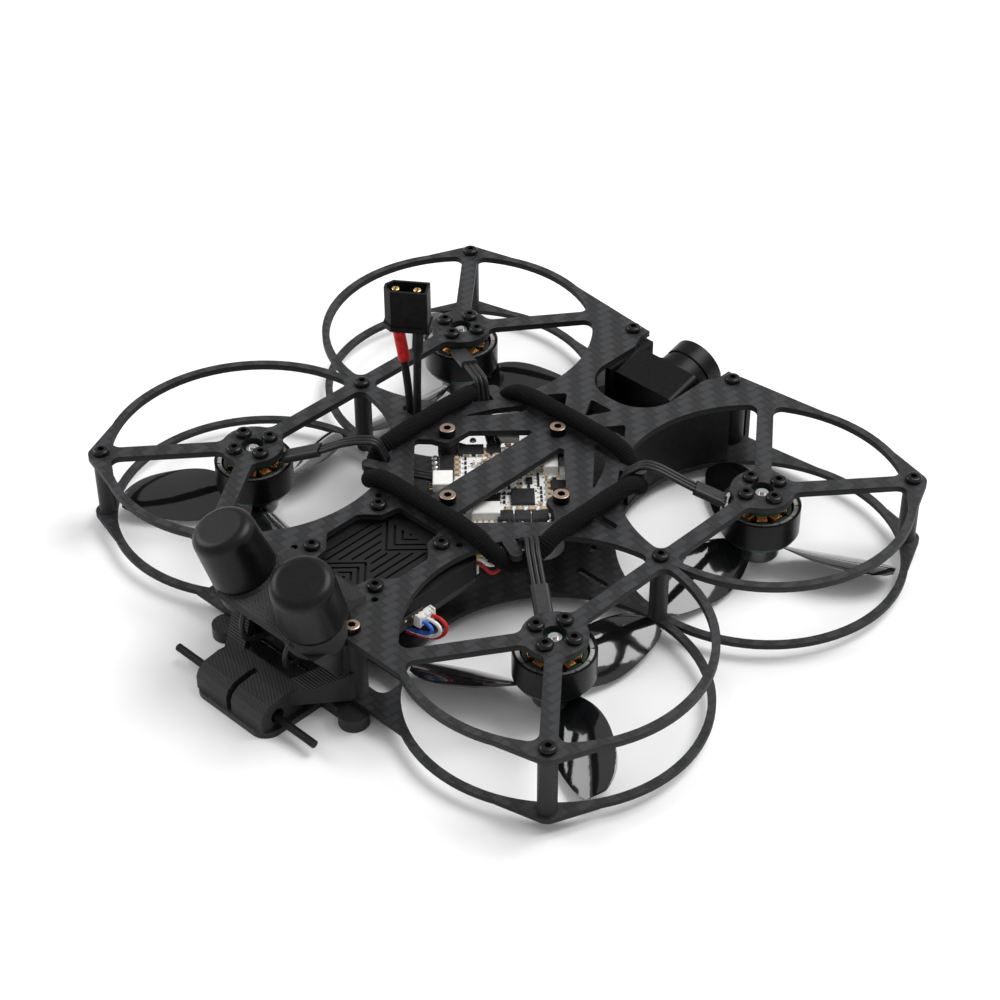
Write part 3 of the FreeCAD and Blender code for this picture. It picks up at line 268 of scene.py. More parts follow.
def platedMagnet():
    paint = Paint("platedMagnet", (0.72, 0.71, 0.69), 0.3, 0.9)
    tone = paint.noise(1600, 4).between(0.3, 0.8)
    paint.set("Base Color", paint.blend(tone, (0.5, 0.49, 0.47), (0.82, 0.81, 0.78)))
    return paint.bump(paint.noise(4200, 2), 0.1, 0.02)


def glossyPolycarbonate():
    paint = Paint("glossyPolycarbonate", (0.004, 0.004, 0.0045), 0.09)
    flow = paint.noise(90, 2)
    paint.set("Base Color", paint.blend(flow, (0.003, 0.003, 0.0035), (0.008, 0.008, 0.009)))
    paint.set("Roughness", 0.06 + flow * 0.06)
    paint.set("Coat Weight", 0.5 + flow * 0.2)
    paint.set("Coat Roughness", 0.05)
    return paint.bump(paint.noise(160, 1), 0.05, 0.2)


def moulding(name, color, roughness, grain=2400.0, depth=0.05, lift=1.6, shine=0.5):
    paint = Paint(name, color, roughness).matt(shine)
    light = tuple(part * lift + 0.004 for part in color)
    tone = paint.noise(grain / 3, 4).between(0.3, 0.75)
    paint.set("Base Color", paint.blend(tone, color, light))
    paint.set("Roughness", roughness - 0.05 + paint.noise(grain, 2) * 0.12)
    return paint.bump(paint.noise(grain, 3), 0.35, depth)


def printedLayers():
    look = {"layer": 0.26 * mm, "dark": (0.004, 0.004, 0.0045), "light": (0.03, 0.03, 0.032)}
    paint = Paint("printedLayers", look["dark"], 0.5).matt(0.4)
    wander = paint.noise(160, 2) * 0.35
    layers = ((paint.axis("Z") / look["layer"] + wander) * 6.2832).math("SINE") * 0.5 + 0.5
    diagonal = (((paint.axis("X") + paint.axis("Y")) / (0.42 * mm)) * 6.2832).math("SINE") * 0.5 + 0.5
    upright = paint.axis("Z", paint.node("ShaderNodeNewGeometry", output="Normal")).math("ABSOLUTE")
    top = upright.between(0.9, 0.99)
    ridge = layers * (1 - top) + diagonal * top
    strings = paint.noise(1300, 5, 0.7)
    paint.set("Base Color", paint.blend(ridge * 0.6 + strings * 0.4, look["dark"], look["light"]))
    paint.set("Roughness", 0.36 + strings * 0.3)
    return paint.bump(ridge * 0.7 + strings * 0.6, 1.0, 0.2)


def braidedElastic():
    paint = Paint("braidedElastic", (0.004, 0.004, 0.005), 0.85).matt(0.08, 0.02)
    fuzz = paint.noise(5200, 4, 0.7)
    thread = fuzz.between(0.35, 0.8)
    paint.set("Base Color", paint.blend(thread, (0.0016, 0.0016, 0.002), (0.012, 0.012, 0.013)))
    return paint.bump(fuzz, 0.8, 0.12)


def boardMask():
    look = {"mask": (0.88, 0.89, 0.88), "trace": (0.7, 0.72, 0.72), "gold": (0.62, 0.42, 0.14),
            "edge": (0.3, 0.26, 0.17)}
    paint = Paint("whiteSolderMask", look["mask"], 0.35)
    grid = paint.node("ShaderNodeTexVoronoi", {"feature": "DISTANCE_TO_EDGE"},
                      {"Vector": paint.place, "Scale": 620.0})
    traces = grid.between(0.02, 0.06, 1.0, 0.0)
    vias = paint.node("ShaderNodeTexVoronoi", None, {"Vector": paint.place, "Scale": 760.0}) < 0.16
    upright = paint.axis("Z", paint.node("ShaderNodeNewGeometry", output="Normal")) > 0.6
    color = paint.blend(traces * 0.5, look["mask"], look["trace"])
    color = paint.blend(vias, color, look["gold"])
    paint.set("Base Color", paint.blend(upright, look["edge"], color))
    paint.set("Metallic", vias * upright * 0.8)
    return paint.bump(traces * 0.3 + vias * 0.4, 0.25, 0.03)


def siliconeLead(name, color):
    paint = Paint(name, color, 0.42).matt(0.35)
    tone = paint.noise(700, 3)
    light = tuple(part * 1.7 + 0.006 for part in color)
    paint.set("Base Color", paint.blend(tone.between(0.35, 0.7), color, light))
    paint.set("Roughness", 0.36 + tone * 0.14)
    return paint.bump(paint.noise(1500, 2), 0.15, 0.04)


def lensCoating():
    paint = Paint("lensCoating", (0.004, 0.005, 0.009), 0.04)
    tone = paint.noise(120, 1)
    paint.set("Base Color", paint.blend(tone, (0.003, 0.004, 0.01), (0.01, 0.006, 0.02)))
    paint.set("Coat Weight", 1.0)
    paint.set("Coat Roughness", 0.02)
    return paint.bump(tone, 0.02, 0.05)


def heatSink():
    paint = Paint("anodisedHeatSink", (0.01, 0.01, 0.011), 0.46, 0.3).matt(0.3)
    blast = paint.noise(4200, 2)
    # painted shade: faces lower than about −3 mm, the groove floors, are coloured darker than the top
    depth = paint.axis("Z").between(-3.3 * mm, -2.9 * mm)
    paint.set("Base Color", paint.blend(depth, (0.002, 0.002, 0.0022), (0.011, 0.0113, 0.0125)))
    paint.set("Roughness", 0.4 + blast * 0.16)
    return paint.bump(blast, 0.3, 0.04)


finishes = {
    "carbon": carbonLaminate(),
    "knurled": knurledAnodising(),
    "blackSteel": machinedMetal("blackOxideSteel", (0.016, 0.016, 0.017), 0.27, 0.75),
    "bronzeSteel": bronzedHeads(),
    "steel": machinedMetal("groundSteel", (0.62, 0.61, 0.6), 0.24),
    "gold": machinedMetal("goldPlate", (0.85, 0.56, 0.2), 0.2, 1.0, 0.15),
    "solder": machinedMetal("solderJoint", (0.62, 0.62, 0.6), 0.3, 0.95),
    "bell": bellFinish(),
    "green": greenAnodising(),
    "core": laminatedCore(),
    "copper": enamelledCopper(),
    "magnet": platedMagnet(),
    "gloss": glossyPolycarbonate(),
    "printed": printedLayers(),
    "elastic": braidedElastic(),
    "board": boardMask(),
    "sink": heatSink(),
    "lens": lensCoating(),
    "rubber": moulding("softRubber", (0.008, 0.008, 0.008), 0.7, shine=0.2),
    "chip": moulding("chipBody", (0.012, 0.012, 0.014), 0.45, shine=0.35),
    "ceramic": moulding("ceramicChip", (0.5, 0.33, 0.17), 0.4, lift=1.2),
    "cream": moulding("whiteNylon", (0.78, 0.77, 0.73), 0.4, lift=1.1),
    "blackNylon": moulding("blackNylon", (0.003, 0.003, 0.0033), 0.5, shine=0.2),
    "cameraShell": moulding("cameraShell", (0.0015, 0.0015, 0.002), 0.34, 3200.0, lift=1.2, shine=0.18),
    "cap": moulding("mattCap", (0.001, 0.001, 0.0014), 0.36, 4200.0, 0.03, lift=1.2, shine=0.24),
    "blackLead": siliconeLead("blackSilicone", (0.007, 0.007, 0.0075)),
    "redLead": siliconeLead("redSilicone", (0.45, 0.012, 0.012)),
    "whiteLead": siliconeLead("whiteSilicone", (0.68, 0.68, 0.66)),
    "blueLead": siliconeLead("blueSilicone", (0.03, 0.12, 0.5)),
    "yellowLead": siliconeLead("yellowSilicone", (0.6, 0.42, 0.03)),
}
print("finishes made:", len(finishes))

nodeFinish = {
    "top_plate": "carbon", "bottom_plate": "carbon", "standoffs": "knurled", "button_screws": "blackSteel",
    "motor_screws": "blackSteel", "stack_screws": "bronzeSteel", "grommets": "rubber",
    "flight_controller": "board", "controller_parts": "chip", "controller_sockets": "cream",
    "vtx_case": "sink", "vtx_board": "chip", "vtx_plugs": "cream", "vtx_harness": "whiteLead",
    "camera_mount": "blackNylon", "camera_case": "cameraShell", "lens_barrel": "cameraShell",
    "lens_glass": "lens", "camera_screws": "blackSteel", "antenna_mount": "printed", "rear_clamp": "printed",
    "antenna_cap_left": "cap", "antenna_cap_right": "cap", "antenna_leads": "blackLead",
    "receiver_antenna": "blackNylon", "battery_strap": "elastic", "battery_plug": "blackNylon",
    "plug_pins": "gold", "battery_lead_positive": "blackLead", "battery_lead_negative": "blackLead",
    "lead_shrink": "redLead", "lead_shrink_negative": "blackLead",
}
for name in motorNames:
    nodeFinish.update({"motor_leads_" + name: "blackLead", "motor_base_" + name: "green",
                       "stator_" + name: "core", "bell_" + name: "bell", "magnets_" + name: "magnet",
                       "shaft_" + name: "steel", "propeller_" + name: "gloss"})
for name, node in nodes.items():
    node.data.materials.clear()
    node.data.materials.append(finishes[nodeFinish[name]])


# mesh helpers

def meshPiece(name, verts, faces, finish, body="airframe", smooth=True):
    mesh = bpy.data.meshes.new(name)
    mesh.from_pydata([tuple(vert) for vert in verts], [], faces)
    mesh.validate()
    piece = bpy.data.objects.new(name, mesh)
    bpy.context.scene.collection.objects.link(piece)
    mesh.materials.append(finishes[finish])
    for polygon in mesh.polygons:
        polygon.use_smooth = smooth
    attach(piece, body)
    return piece


def splinePath(points, cyclic=False, step=0.4 * mm):
    curve = bpy.data.curves.new("route", "CURVE")
    curve.dimensions = "3D"
    spline = curve.splines.new("NURBS")
    spline.points.add(len(points) - 1)
    for target, point in zip(spline.points, points):
        target.co = (*point, 1.0)
    spline.use_cyclic_u = cyclic
    spline.order_u = 3
    spline.use_endpoint_u = not cyclic
    spline.resolution_u = 16
    holder = bpy.data.objects.new("route", curve)
    mesh = bpy.data.meshes.new_from_object(holder)
    spots = [vert.co.copy() for vert in mesh.vertices]
    bpy.data.objects.remove(holder)
    bpy.data.curves.remove(curve)
    bpy.data.meshes.remove(mesh)
    if cyclic:
        spots.append(spots[0].copy())
    lengths = [0.0]
    for first, second in zip(spots, spots[1:]):
        lengths.append(lengths[-1] + (second - first).length)
    count = max(2, round(lengths[-1] / step))
    even = []
    index = 0
    for number in range(count + (0 if cyclic else 1)):
        goal = lengths[-1] * number / count
        while index < len(spots) - 2 and lengths[index + 1] < goal:
            index += 1
        span = max(lengths[index + 1] - lengths[index], 1e-12)
        even.append(spots[index].lerp(spots[index + 1], (goal - lengths[index]) / span))
    return even, lengths[-1]


def sweep(path, section, sides, cyclic=False, up=None):
    verts, faces = [], []
    count = len(path)
    side = None
    travelled = 0.0
    for index, spot in enumerate(path):
        before = path[index - 1] if index or cyclic else spot
        after = path[(index + 1) % count] if index < count - 1 or cyclic else spot
        heading = (after - before).normalized()
        if up is not None:
            side = heading.cross(up).normalized()
        elif side is None:
            reference = Vector((0, 0, 1)) if abs(heading.z) < 0.9 else Vector((1, 0, 0))
            side = heading.cross(reference).normalized()
        else:
            side = (side - heading * side.dot(heading)).normalized()
        rise = side.cross(heading)
        if index:
            travelled += (spot - path[index - 1]).length
        for step in range(sides):
            angle = 2 * math.pi * step / sides
            wide, high = section(travelled, angle)
            verts.append(spot + side * wide + rise * high)
    for index in range(count if cyclic else count - 1):
        for step in range(sides):
            one = index * sides + step
            two = index * sides + (step + 1) % sides
            three = ((index + 1) % count) * sides
            faces.append((one, two, three + (step + 1) % sides, three + step))
    if not cyclic:
        faces.append(tuple(range(sides))[::-1])
        faces.append(tuple((count - 1) * sides + step for step in range(sides)))
    return verts, faces


def append(held, verts, faces):
    offset = len(held[0])
    held[0].extend(verts)
    held[1].extend(tuple(index + offset for index in face) for face in faces)


def roundWire(radius):
    return lambda travelled, angle: (radius * math.cos(angle), radius * math.sin(angle))


def inMetres(points):
    return [Vector(point) * mm for point in points]


# camera, floor and light

view = {"azimuth": 224.204, "elevation": 37.861, "roll": -0.232, "across": 0.883, "down": -7.64,
        "away": 524.074, "lens": 82.745}


def addCamera():
    turn, rise, roll = (math.radians(view[key]) for key in ("azimuth", "elevation", "roll"))
    right = Vector((math.cos(turn), math.sin(turn), 0))
    back = Vector((math.sin(turn) * math.cos(rise), -math.cos(turn) * math.cos(rise), math.sin(rise)))
    down = right.cross(back)
    rolledRight = right * math.cos(roll) - down * math.sin(roll)
    rolledDown = right * math.sin(roll) + down * math.cos(roll)
    centre = (back * view["away"] - rolledRight * view["across"] - rolledDown * view["down"]) * mm
    camera = bpy.data.cameras.new("studioCamera")
    camera.lens = view["lens"]
    camera.sensor_width = 36
    camera.clip_start = 0.01
    holder = bpy.data.objects.new("studioCamera", camera)
    bpy.context.scene.collection.objects.link(holder)
    turned = Matrix((rolledRight, -rolledDown, back)).transposed()
    holder.matrix_world = Matrix.Translation(centre) @ turned.to_4x4()
    bpy.context.scene.camera = holder


def addStudio():
    look = {"floor": (0.93, 0.93, 0.93), "sky": 0.56, "key": 9.5, "side": 4.5, "reach": 4.0}
    reach = look["reach"]
    low = min(corner[2] for corner in cadBox)
    mesh = bpy.data.meshes.new("studioFloor")
    mesh.from_pydata([(-reach, -reach, low), (reach, -reach, low), (reach, reach, low), (-reach, reach, low)],
                     [], [(0, 1, 2, 3)])
    floor = bpy.data.objects.new("studioFloor", mesh)
    bpy.context.scene.collection.objects.link(floor)
    paper = Paint("studioPaper", look["floor"], 0.7)
    grain = paper.noise(60, 2)
    paper.set("Base Color", paper.blend(grain, (0.92, 0.92, 0.92), (0.95, 0.95, 0.95)))
    mesh.materials.append(paper.material)
    world = bpy.data.worlds.new("studioSky")
    bpy.context.scene.world = world
    world.use_nodes = True
    sky = world.node_tree.nodes["Background"]
    sky.inputs["Color"].default_value = (1.0, 1.0, 1.0, 1.0)
    sky.inputs["Strength"].default_value = look["sky"]
    for name, energy, place, wide in (("keyLamp", look["key"], (-0.25, -0.5, 0.9), 0.7),
                                      ("sideLamp", look["side"], (0.9, 0.35, 0.6), 0.6)):
        lamp = bpy.data.lights.new(name, "AREA")
        lamp.energy = energy
        lamp.size = wide
        holder = bpy.data.objects.new(name, lamp)
        bpy.context.scene.collection.objects.link(holder)
        holder.location = place
        holder.rotation_euler = (-Vector(place)).to_track_quat("-Z", "Y").to_euler()
    bpy.context.scene.view_settings.view_transform = "Standard"


addCamera()
addStudio()
print("camera and studio set")


# battery leads

leads = {
    "radius": 0.95 * mm,
    "negative": [(15.2, -4.4, -7.4), (28.9, -0.9, -7.4), (29.05, -0.8, 8.0), (28.472, -1.462, 25.3)],
    "positive": [(11.4, -9.2, -7.4), (31.4, -0.8, -9.0), (31.4, -0.7, 8.0), (32.528, 1.462, 25.3)],
}


def batteryLead(name, points, replaced):
    route = inMetres(points)
    curve = bpy.data.curves.new(name, "CURVE")
    curve.dimensions = "3D"
    spline = curve.splines.new("NURBS")
    spline.points.add(len(route) - 1)
    for target, point in zip(spline.points, route):
        target.co = (*point, 1.0)
    spline.order_u = 3
    spline.use_endpoint_u = True
    spline.resolution_u = 24
    curve.bevel_depth = leads["radius"]
    curve.bevel_resolution = 5
    curve.use_fill_caps = True
    curve.materials.append(finishes["blackLead"])
    lead = bpy.data.objects.new(name, curve)
    bpy.context.scene.collection.objects.link(lead)
    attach(lead, "airframe")
    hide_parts(replaced)
    length = splinePath(route)[1]


batteryLead("batteryLeadNegative", leads["negative"], "battery_lead_negative")
batteryLead("batteryLeadPositive", leads["positive"], "battery_lead_positive")
print("battery leads routed")


# elastic strap

strap = {"left": 23.7, "right": -27.0, "front": -21.9, "rear": 24.2, "height": 2.45, "radius": 1.98,
         "pitch": 0.62, "ridge": 0.07, "strands": 13, "kneeOut": 25.2, "weave": 0.35, "slant": 0.12,
         "swell": 0.035, "lump": 17, "sides": 52, "step": 0.1, "wide": 1.04, "flat": 0.97}


def strapRoute():
    def cornerPoints(sx, sy, sideX, endY):
        outer = max(abs(sideX) + 0.2, strap["kneeOut"])
        return [(sideX, sy * 12.2, strap["height"]), (sx * outer, sy * 16.0, 0.2),
                (sx * 22.8, sy * 20.4, -4.9), (sx * 18.8, endY, 0.2), (sx * 15.0, endY, strap["height"])]

    route = [(4.0, strap["rear"], strap["height"]), (-4.0, strap["rear"], strap["height"])]
    route += cornerPoints(-1, 1, strap["right"], strap["rear"])[::-1]
    route.append((strap["right"] - 0.2, 0, strap["height"]))
    route += cornerPoints(-1, -1, strap["right"], strap["front"])
    route.append((0, strap["front"] - 0.2, strap["height"]))
    route += cornerPoints(1, -1, strap["left"], strap["front"])[::-1]
    route.append((strap["left"] + 0.2, 0, strap["height"]))
    route += cornerPoints(1, 1, strap["left"], strap["rear"])
    return inMetres(route)


def addStrap():
    path, length = splinePath(strapRoute(), cyclic=True, step=strap["step"] * mm)
    turns = round(length / (strap["pitch"] * mm))
    wave = 2 * math.pi * turns / length
    lump = 2 * math.pi * round(turns / strap["lump"]) / length

    def braid(travelled, angle):
        row = math.sin(wave * travelled + strap["weave"] * math.sin(strap["strands"] * angle))
        cell = math.sin(strap["strands"] * angle + strap["slant"] * wave * travelled)
        swell = strap["swell"] * math.sin(lump * travelled + angle)
        radius = (strap["radius"] + strap["ridge"] * (row + 0.5 * cell) + swell) * mm
        return radius * strap["wide"] * math.cos(angle), radius * strap["flat"] * math.sin(angle)

    verts, faces = sweep(path, braid, strap["sides"], cyclic=True)
    piece = meshPiece("batteryStrap", verts, faces, "elastic")
    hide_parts("battery_strap")
    print("strap woven, length", round(length * 1000, 1), "mm")


addStrap()


# parts on the flight controller, in mm and degrees
# black and white: x, y, wide, deep, high, turn; rows: x, y, turn, count, gap, wide, deep
# dots: x, y, turn, count, gap; blobs: x, y

board = {
    "top": -5.4, "half": 14, "diagonal": 0.7071, "shift": 0.2, "seed": 7, "tries": 900,
    "holes": [(18, 0.2), (-18, 0.2), (0, 18), (0, -18)], "holeRoom": 3.2, "room": 0.45,
    "black": [(-6.5, 0.5, 5.4, 5.4, 0.95, 45), (-14.2, 3.0, 3.6, 3.4, 1.0, 45),
              (-11.4, 5.7, 3.6, 3.4, 1.0, 45), (-8.6, 8.4, 3.6, 3.4, 1.0, 45),
              (13.9, 4.6, 8.6, 3.3, 1.2, -45), (14.4, -3.8, 6.0, 3.6, 1.1, 45),
              (10.9, -7.8, 3.4, 3.4, 1.0, 45), (-9.6, -8.2, 3.4, 3.8, 1.0, -45),
              (6.4, 1.0, 3.0, 3.0, 0.9, 45), (-1.6, 6.4, 5.0, 2.6, 0.9, 45),
              (-3.2, -5.0, 2.2, 1.5, 0.6, -45), (3.4, -9.0, 3.0, 2.2, 0.8, 45)],
    "white": [(-4.6, 10.6, 6.4, 4.4, 2.2, 45), (10.2, 9.6, 5.4, 4.6, 2.3, -45),
              (-3.2, -12.2, 5.0, 3.4, 2.4, -45), (-7.2, -12.6, 3.2, 2.2, 1.3, -45),
              (11.6, -13.2, 5.6, 2.6, 1.6, 45)],
    "rows": [(-12.9, 0.3, 45, 4, 2.7, 1.9, 1.1), (-11.2, -3.4, -45, 4, 2.15, 1.7, 1.0),
             (10.6, 4.6, -45, 4, 1.95, 1.7, 1.0), (12.0, -4.4, 45, 2, 3.0, 2.0, 1.3),
             (9.3, -7.3, 45, 2, 2.6, 2.0, 1.3), (9.4, -11.2, 45, 1, 1.0, 2.0, 1.3)],
    "dots": [(-10.4, -1.6, -45, 4, 1.6), (-4.6, 4.6, -45, 3, 1.7), (9.6, 2.8, -45, 4, 1.8),
             (-3.2, 1.6, 45, 3, 1.2), (-5.8, -5.4, -45, 4, 1.3), (2.0, 9.6, -45, 4, 1.5)],
    "blobs": [(14.6, 7.6), (15.9, 6.3), (17.3, 5.0), (18.6, 3.8), (17.2, -7.3), (14.7, -10.4),
              (12.3, -11.2), (-15.9, 1.2), (-17.0, 2.6), (-12.9, 7.6), (-10.1, 10.4)],
}


def pillow(verts, faces, centre, size, turn, chamfer):
    wide, deep, high = (part / 2 for part in size)
    spin = Matrix.Rotation(math.radians(turn), 3, "Z")
    first = len(verts)
    for inset, z in ((0, 0), (0, 2 * high - chamfer), (chamfer, 2 * high)):
        for sx, sy in ((-1, -1), (1, -1), (1, 1), (-1, 1)):
            spot = spin @ Vector((sx * (wide - inset), sy * (deep - inset), z))
            verts.append((Vector(centre) + spot) * mm)
    for level in (0, 4):
        for side in range(4):
            low, after = first + level + side, first + level + (side + 1) % 4
            faces.append((low, after, after + 4, low + 4))
    faces.append((first + 8, first + 9, first + 10, first + 11))
    faces.append((first + 3, first + 2, first + 1, first))


def blob(verts, faces, centre, radius, high):
    first = len(verts)
    for ring in range(5):
        lift = math.radians(ring * 90 / 5)
        for step in range(12):
            angle = math.radians(30 * step)
            reach = radius * math.cos(lift)
            verts.append((Vector(centre) + Vector((reach * math.cos(angle), reach * math.sin(angle),
                                                   high * math.sin(lift)))) * mm)
    for ring in range(4):
        for step in range(12):
            one, two = first + ring * 12 + step, first + ring * 12 + (step + 1) % 12
            faces.append((one, two, two + 12, one + 12))
    faces.append(tuple(first + 48 + step for step in range(12)))
    faces.append(tuple(first + 11 - step for step in range(12)))


def beside(x, y, along, off, turn):
    cos, sin = math.cos(math.radians(turn)), math.sin(math.radians(turn))
    return x + along * cos - off * sin, y + along * sin + off * cos


def addBoardParts():
    top = board["top"]
    kinds = {key: ([], []) for key in ("chip", "cream", "ceramic", "solder", "gold")}
    taken = []

    def part(kind, x, y, size, turn, chamfer=0.1, z=top):
        pillow(*kinds[kind], (x, y, z), size, turn, chamfer)

    def capacitor(x, y, wide, deep, turn):
        along = Vector((math.cos(math.radians(turn)), math.sin(math.radians(turn)))) * (wide * 0.38)
        part("ceramic", x, y, (wide * 0.56, deep, 0.72), turn, 0.06)
        tip = (wide * 0.26, deep * 1.06, 0.76)
        for side in (1, -1):
            part("solder", x + side * along.x, y + side * along.y, tip, turn, 0.08)

    for x, y, wide, deep, high, turn in board["black"]:
        part("chip", x, y, (wide, deep, high), turn, 0.16)
        taken.append((x, y, max(wide, deep) * 0.62))
        count = int(wide / 0.7)                                # legs along two sides
        for index in range(count):
            place = (index + 0.5) / count * wide - wide / 2
            for side in (1, -1):
                spot = beside(x, y, place, side * (deep / 2 + 0.1), turn)
                part("solder", *spot, (0.3, 0.42, 0.2), turn, 0.04)
    for x, y, wide, deep, high, turn in board["white"]:
        part("cream", x, y, (wide, deep, high), turn, 0.18)
        taken.append((x, y, max(wide, deep) * 0.62))
        for index in range(4):                                 # dark blocks in the mouth stand in for the shaded slot openings (painted shade), and pins behind
            place = (index - 1.5) * wide / 5
            mouth = beside(x, y, place, -deep / 2 - 0.04, turn)
            part("chip", *mouth, (wide / 9, 0.3, high * 0.7), turn, 0.02, top + high * 0.12)
            pin = beside(x, y, place, deep / 2 + 0.3, turn)
            part("gold", *pin, (0.32, 0.9, 0.18), turn, 0.03)
    for x, y, turn, count, gap, wide, deep in board["rows"]:
        stepX, stepY = gap * math.cos(math.radians(turn)), gap * math.sin(math.radians(turn))
        for index in range(count):
            capacitor(x + stepX * index, y + stepY * index, wide, deep, turn if gap > 2.5 else turn + 90)
            taken.append((x + stepX * index, y + stepY * index, 1.2))
    for x, y, turn, count, gap in board["dots"]:
        stepX, stepY = gap * math.cos(math.radians(turn)), gap * math.sin(math.radians(turn))
        for index in range(count):
            part("chip", x + stepX * index, y + stepY * index, (0.9, 0.55, 0.4), turn, 0.05)
            part("gold", x + stepX * index + 0.55, y + stepY * index + 0.55, (0.3, 0.3, 0.08), turn, 0.02)
            taken.append((x + stepX * index, y + stepY * index, 0.8))
    for x, y in board["blobs"]:
        blob(*kinds["solder"], (x, y, top), 0.86, 0.75)
        taken.append((x, y, 0.95))
    dice = random.Random(board["seed"])
    for number in range(board["tries"]):                       # small parts wherever there is room
        along = dice.uniform(-board["half"], board["half"])
        across = dice.uniform(-board["half"], board["half"])
        x = (along - across) * board["diagonal"]
        y = (along + across) * board["diagonal"] + board["shift"]
        onHole = min(math.hypot(x - hx, y - hy) for hx, hy in board["holes"]) < board["holeRoom"]
        if onHole or any(math.hypot(x - tx, y - ty) < reach + board["room"] for tx, ty, reach in taken):
            continue
        turn = dice.choice((45, -45))
        pick = dice.random()
        if pick < 0.4:
            capacitor(x, y, 1.15, 0.6, turn)
        elif pick < 0.65:
            part("chip", x, y, (1.1, 0.62, 0.42), turn, 0.05)
        elif pick < 0.9:
            part("gold", x, y, (0.55, 0.55, 0.07), turn, 0.02)
        else:
            blob(*kinds["solder"], (x, y, top), 0.42, 0.3)
        taken.append((x, y, 0.42))
    for kind, (verts, faces) in kinds.items():
        meshPiece("boardParts_" + kind, verts, faces, kind, smooth=False)
    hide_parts("controller_parts")
    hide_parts("controller_sockets")
    print("controller parts placed:", len(taken))


addBoardParts()


# transmitter plugs and wires

wiring = {
    "radius": 0.44, "plug": (-17.3, 42.5, -9.75), "plugSize": (2.0, 5.0, 2.7),
    "side": [
        ("blueLead", [(-17.9, 43.9, -8.5), (-19.9, 43.7, -8.4), (-20.9, 43.6, -9.8), (-19.4, 43.9, -11.2),
                      (-16.6, 44.4, -11.8), (-13.0, 45.0, -12.2)]),
        ("whiteLead", [(-17.9, 42.6, -8.5), (-20.5, 42.3, -8.1), (-22.1, 42.1, -9.9),
                       (-20.5, 42.7, -12.1), (-17.4, 43.6, -12.9), (-13.0, 44.4, -12.9)]),
        ("redLead", [(-17.9, 41.2, -8.5), (-20.4, 40.7, -7.9), (-22.4, 40.4, -10.1), (-20.9, 41.4, -13.0),
                     (-18.0, 43.0, -13.7), (-13.6, 44.6, -13.4)]),
    ],
    "front": [
        ("yellowLead", [(-12.8, 25.0, -4.4), (-14.2, 22.6, -4.3), (-15.7, 20.6, -5.4),
                        (-16.6, 18.6, -5.4), (-13.0, 14.0, -6.0)]),
        ("whiteLead", [(-12.2, 25.0, -4.9), (-14.2, 22.6, -5.4), (-15.5, 20.6, -8.6), (-17.4, 18.5, -6.6),
                       (-13.0, 13.6, -6.5)]),
        ("redLead", [(-11.6, 25.0, -5.4), (-14.4, 22.2, -7.2), (-15.9, 20.2, -11.2), (-17.9, 18.1, -7.4),
                     (-13.0, 13.2, -7.0)]),
    ],
    "socket": (-11.9, 23.9, -9.6), "slot": (-16.4, 46.6, -7.5), "pins": (-16.7, 43.6, -7.1), "pinGap": 2.0,
}


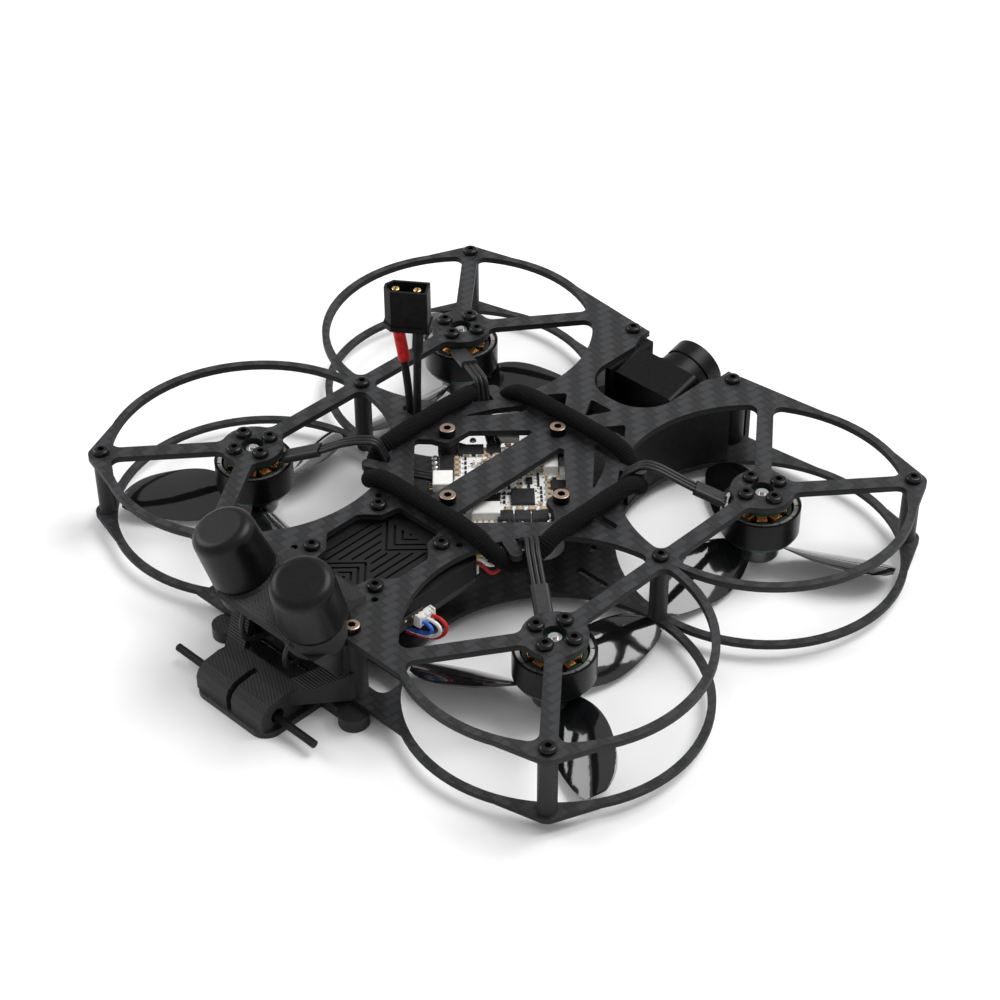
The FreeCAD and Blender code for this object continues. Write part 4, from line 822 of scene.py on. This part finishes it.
def addWiring():
    pieces = {}
    for color, points in wiring["side"] + wiring["front"]:
        path = splinePath(inMetres(points), step=0.3 * mm)[0]
        verts, faces = sweep(path, roundWire(wiring["radius"] * mm), 14)
        append(pieces.setdefault(color, ([], [])), verts, faces)
    for color, (verts, faces) in pieces.items():
        piece = meshPiece("videoWires_" + color, verts, faces, color)
    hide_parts("vtx_harness")
    verts, faces = [], []
    x, y, z = wiring["plug"]
    wide, deep, high = wiring["plugSize"]
    pillow(verts, faces, (x + 0.4, y, z), (wide * 0.6, deep, high), 0, 0.12)
    pillow(verts, faces, (x - 0.3, y, z + 0.25), (wide * 0.6, deep - 1.2, high - 0.5), 0, 0.1)
    cheek = (wide * 0.8, 0.5, high + 0.25)
    for place in (-1, 1):
        pillow(verts, faces, (x - 0.1, y + place * (deep / 2 - 0.35), z), cheek, 0, 0.1)
    for place in (-1.4, 0, 1.4):
        pillow(verts, faces, (x - 0.5, y + place, z + high - 0.55), (wide * 0.5, 0.5, 0.5), 0, 0.06)
    pillow(verts, faces, wiring["socket"], (5.0, 2.0, 2.4), 0, 0.15)
    plug = meshPiece("videoPlugs", verts, faces, "cream", smooth=False)
    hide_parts("vtx_plugs")
    verts, faces = [], []
    pillow(verts, faces, wiring["slot"], (0.5, 8.6, 1.5), 0, 0.1)
    slot = meshPiece("sideSocket", verts, faces, "chip", smooth=False)
    verts, faces = [], []
    pinX, pinY, pinZ = wiring["pins"]
    for index in range(4):
        pillow(verts, faces, (pinX, pinY + wiring["pinGap"] * index, pinZ), (0.18, 0.5, 0.5), 0, 0.03)
    pins = meshPiece("sideSocketPins", verts, faces, "gold", smooth=False)
    print("transmitter wires and plugs made")


addWiring()


# stator windings

winding = {"teeth": 9, "turn": 12.0, "wire": 0.15, "first": 3.92, "last": 5.8, "turns": 7, "half": 1.1,
           "bottom": -9.3, "top": -4.6}


def loopPoints(radius):
    half, low, high, bend = winding["half"], winding["bottom"], winding["top"], 0.4
    points = []
    for sx, sz, start in ((1, 1, 0), (-1, 1, 90), (-1, -1, 180), (1, -1, 270)):
        cx = sx * (half - bend)
        cz = (high if sz > 0 else low) - sz * bend
        for part in range(4):
            angle = math.radians(start + 30 * part)
            points.append(Vector((radius, cx + bend * math.cos(angle), cz + bend * math.sin(angle))))
    return points


def addWindings(name, centre):
    verts, faces = [], []
    for tooth in range(winding["teeth"]):
        spin = Matrix.Rotation(math.radians(winding["turn"] + 360 * tooth / winding["teeth"]), 3, "Z")
        for turn in range(winding["turns"]):
            radius = winding["first"] + (winding["last"] - winding["first"]) * turn / (winding["turns"] - 1)
            path = [(spin @ point) * mm + Vector((centre.x, centre.y, 0)) for point in loopPoints(radius)]
            append((verts, faces), *sweep(path, roundWire(winding["wire"] * mm), 6, cyclic=True))
    piece = meshPiece("windings_" + name, verts, faces, "copper")


for name in motorNames:
    addWindings(name, motorPlaces[name])
print("windings laid")
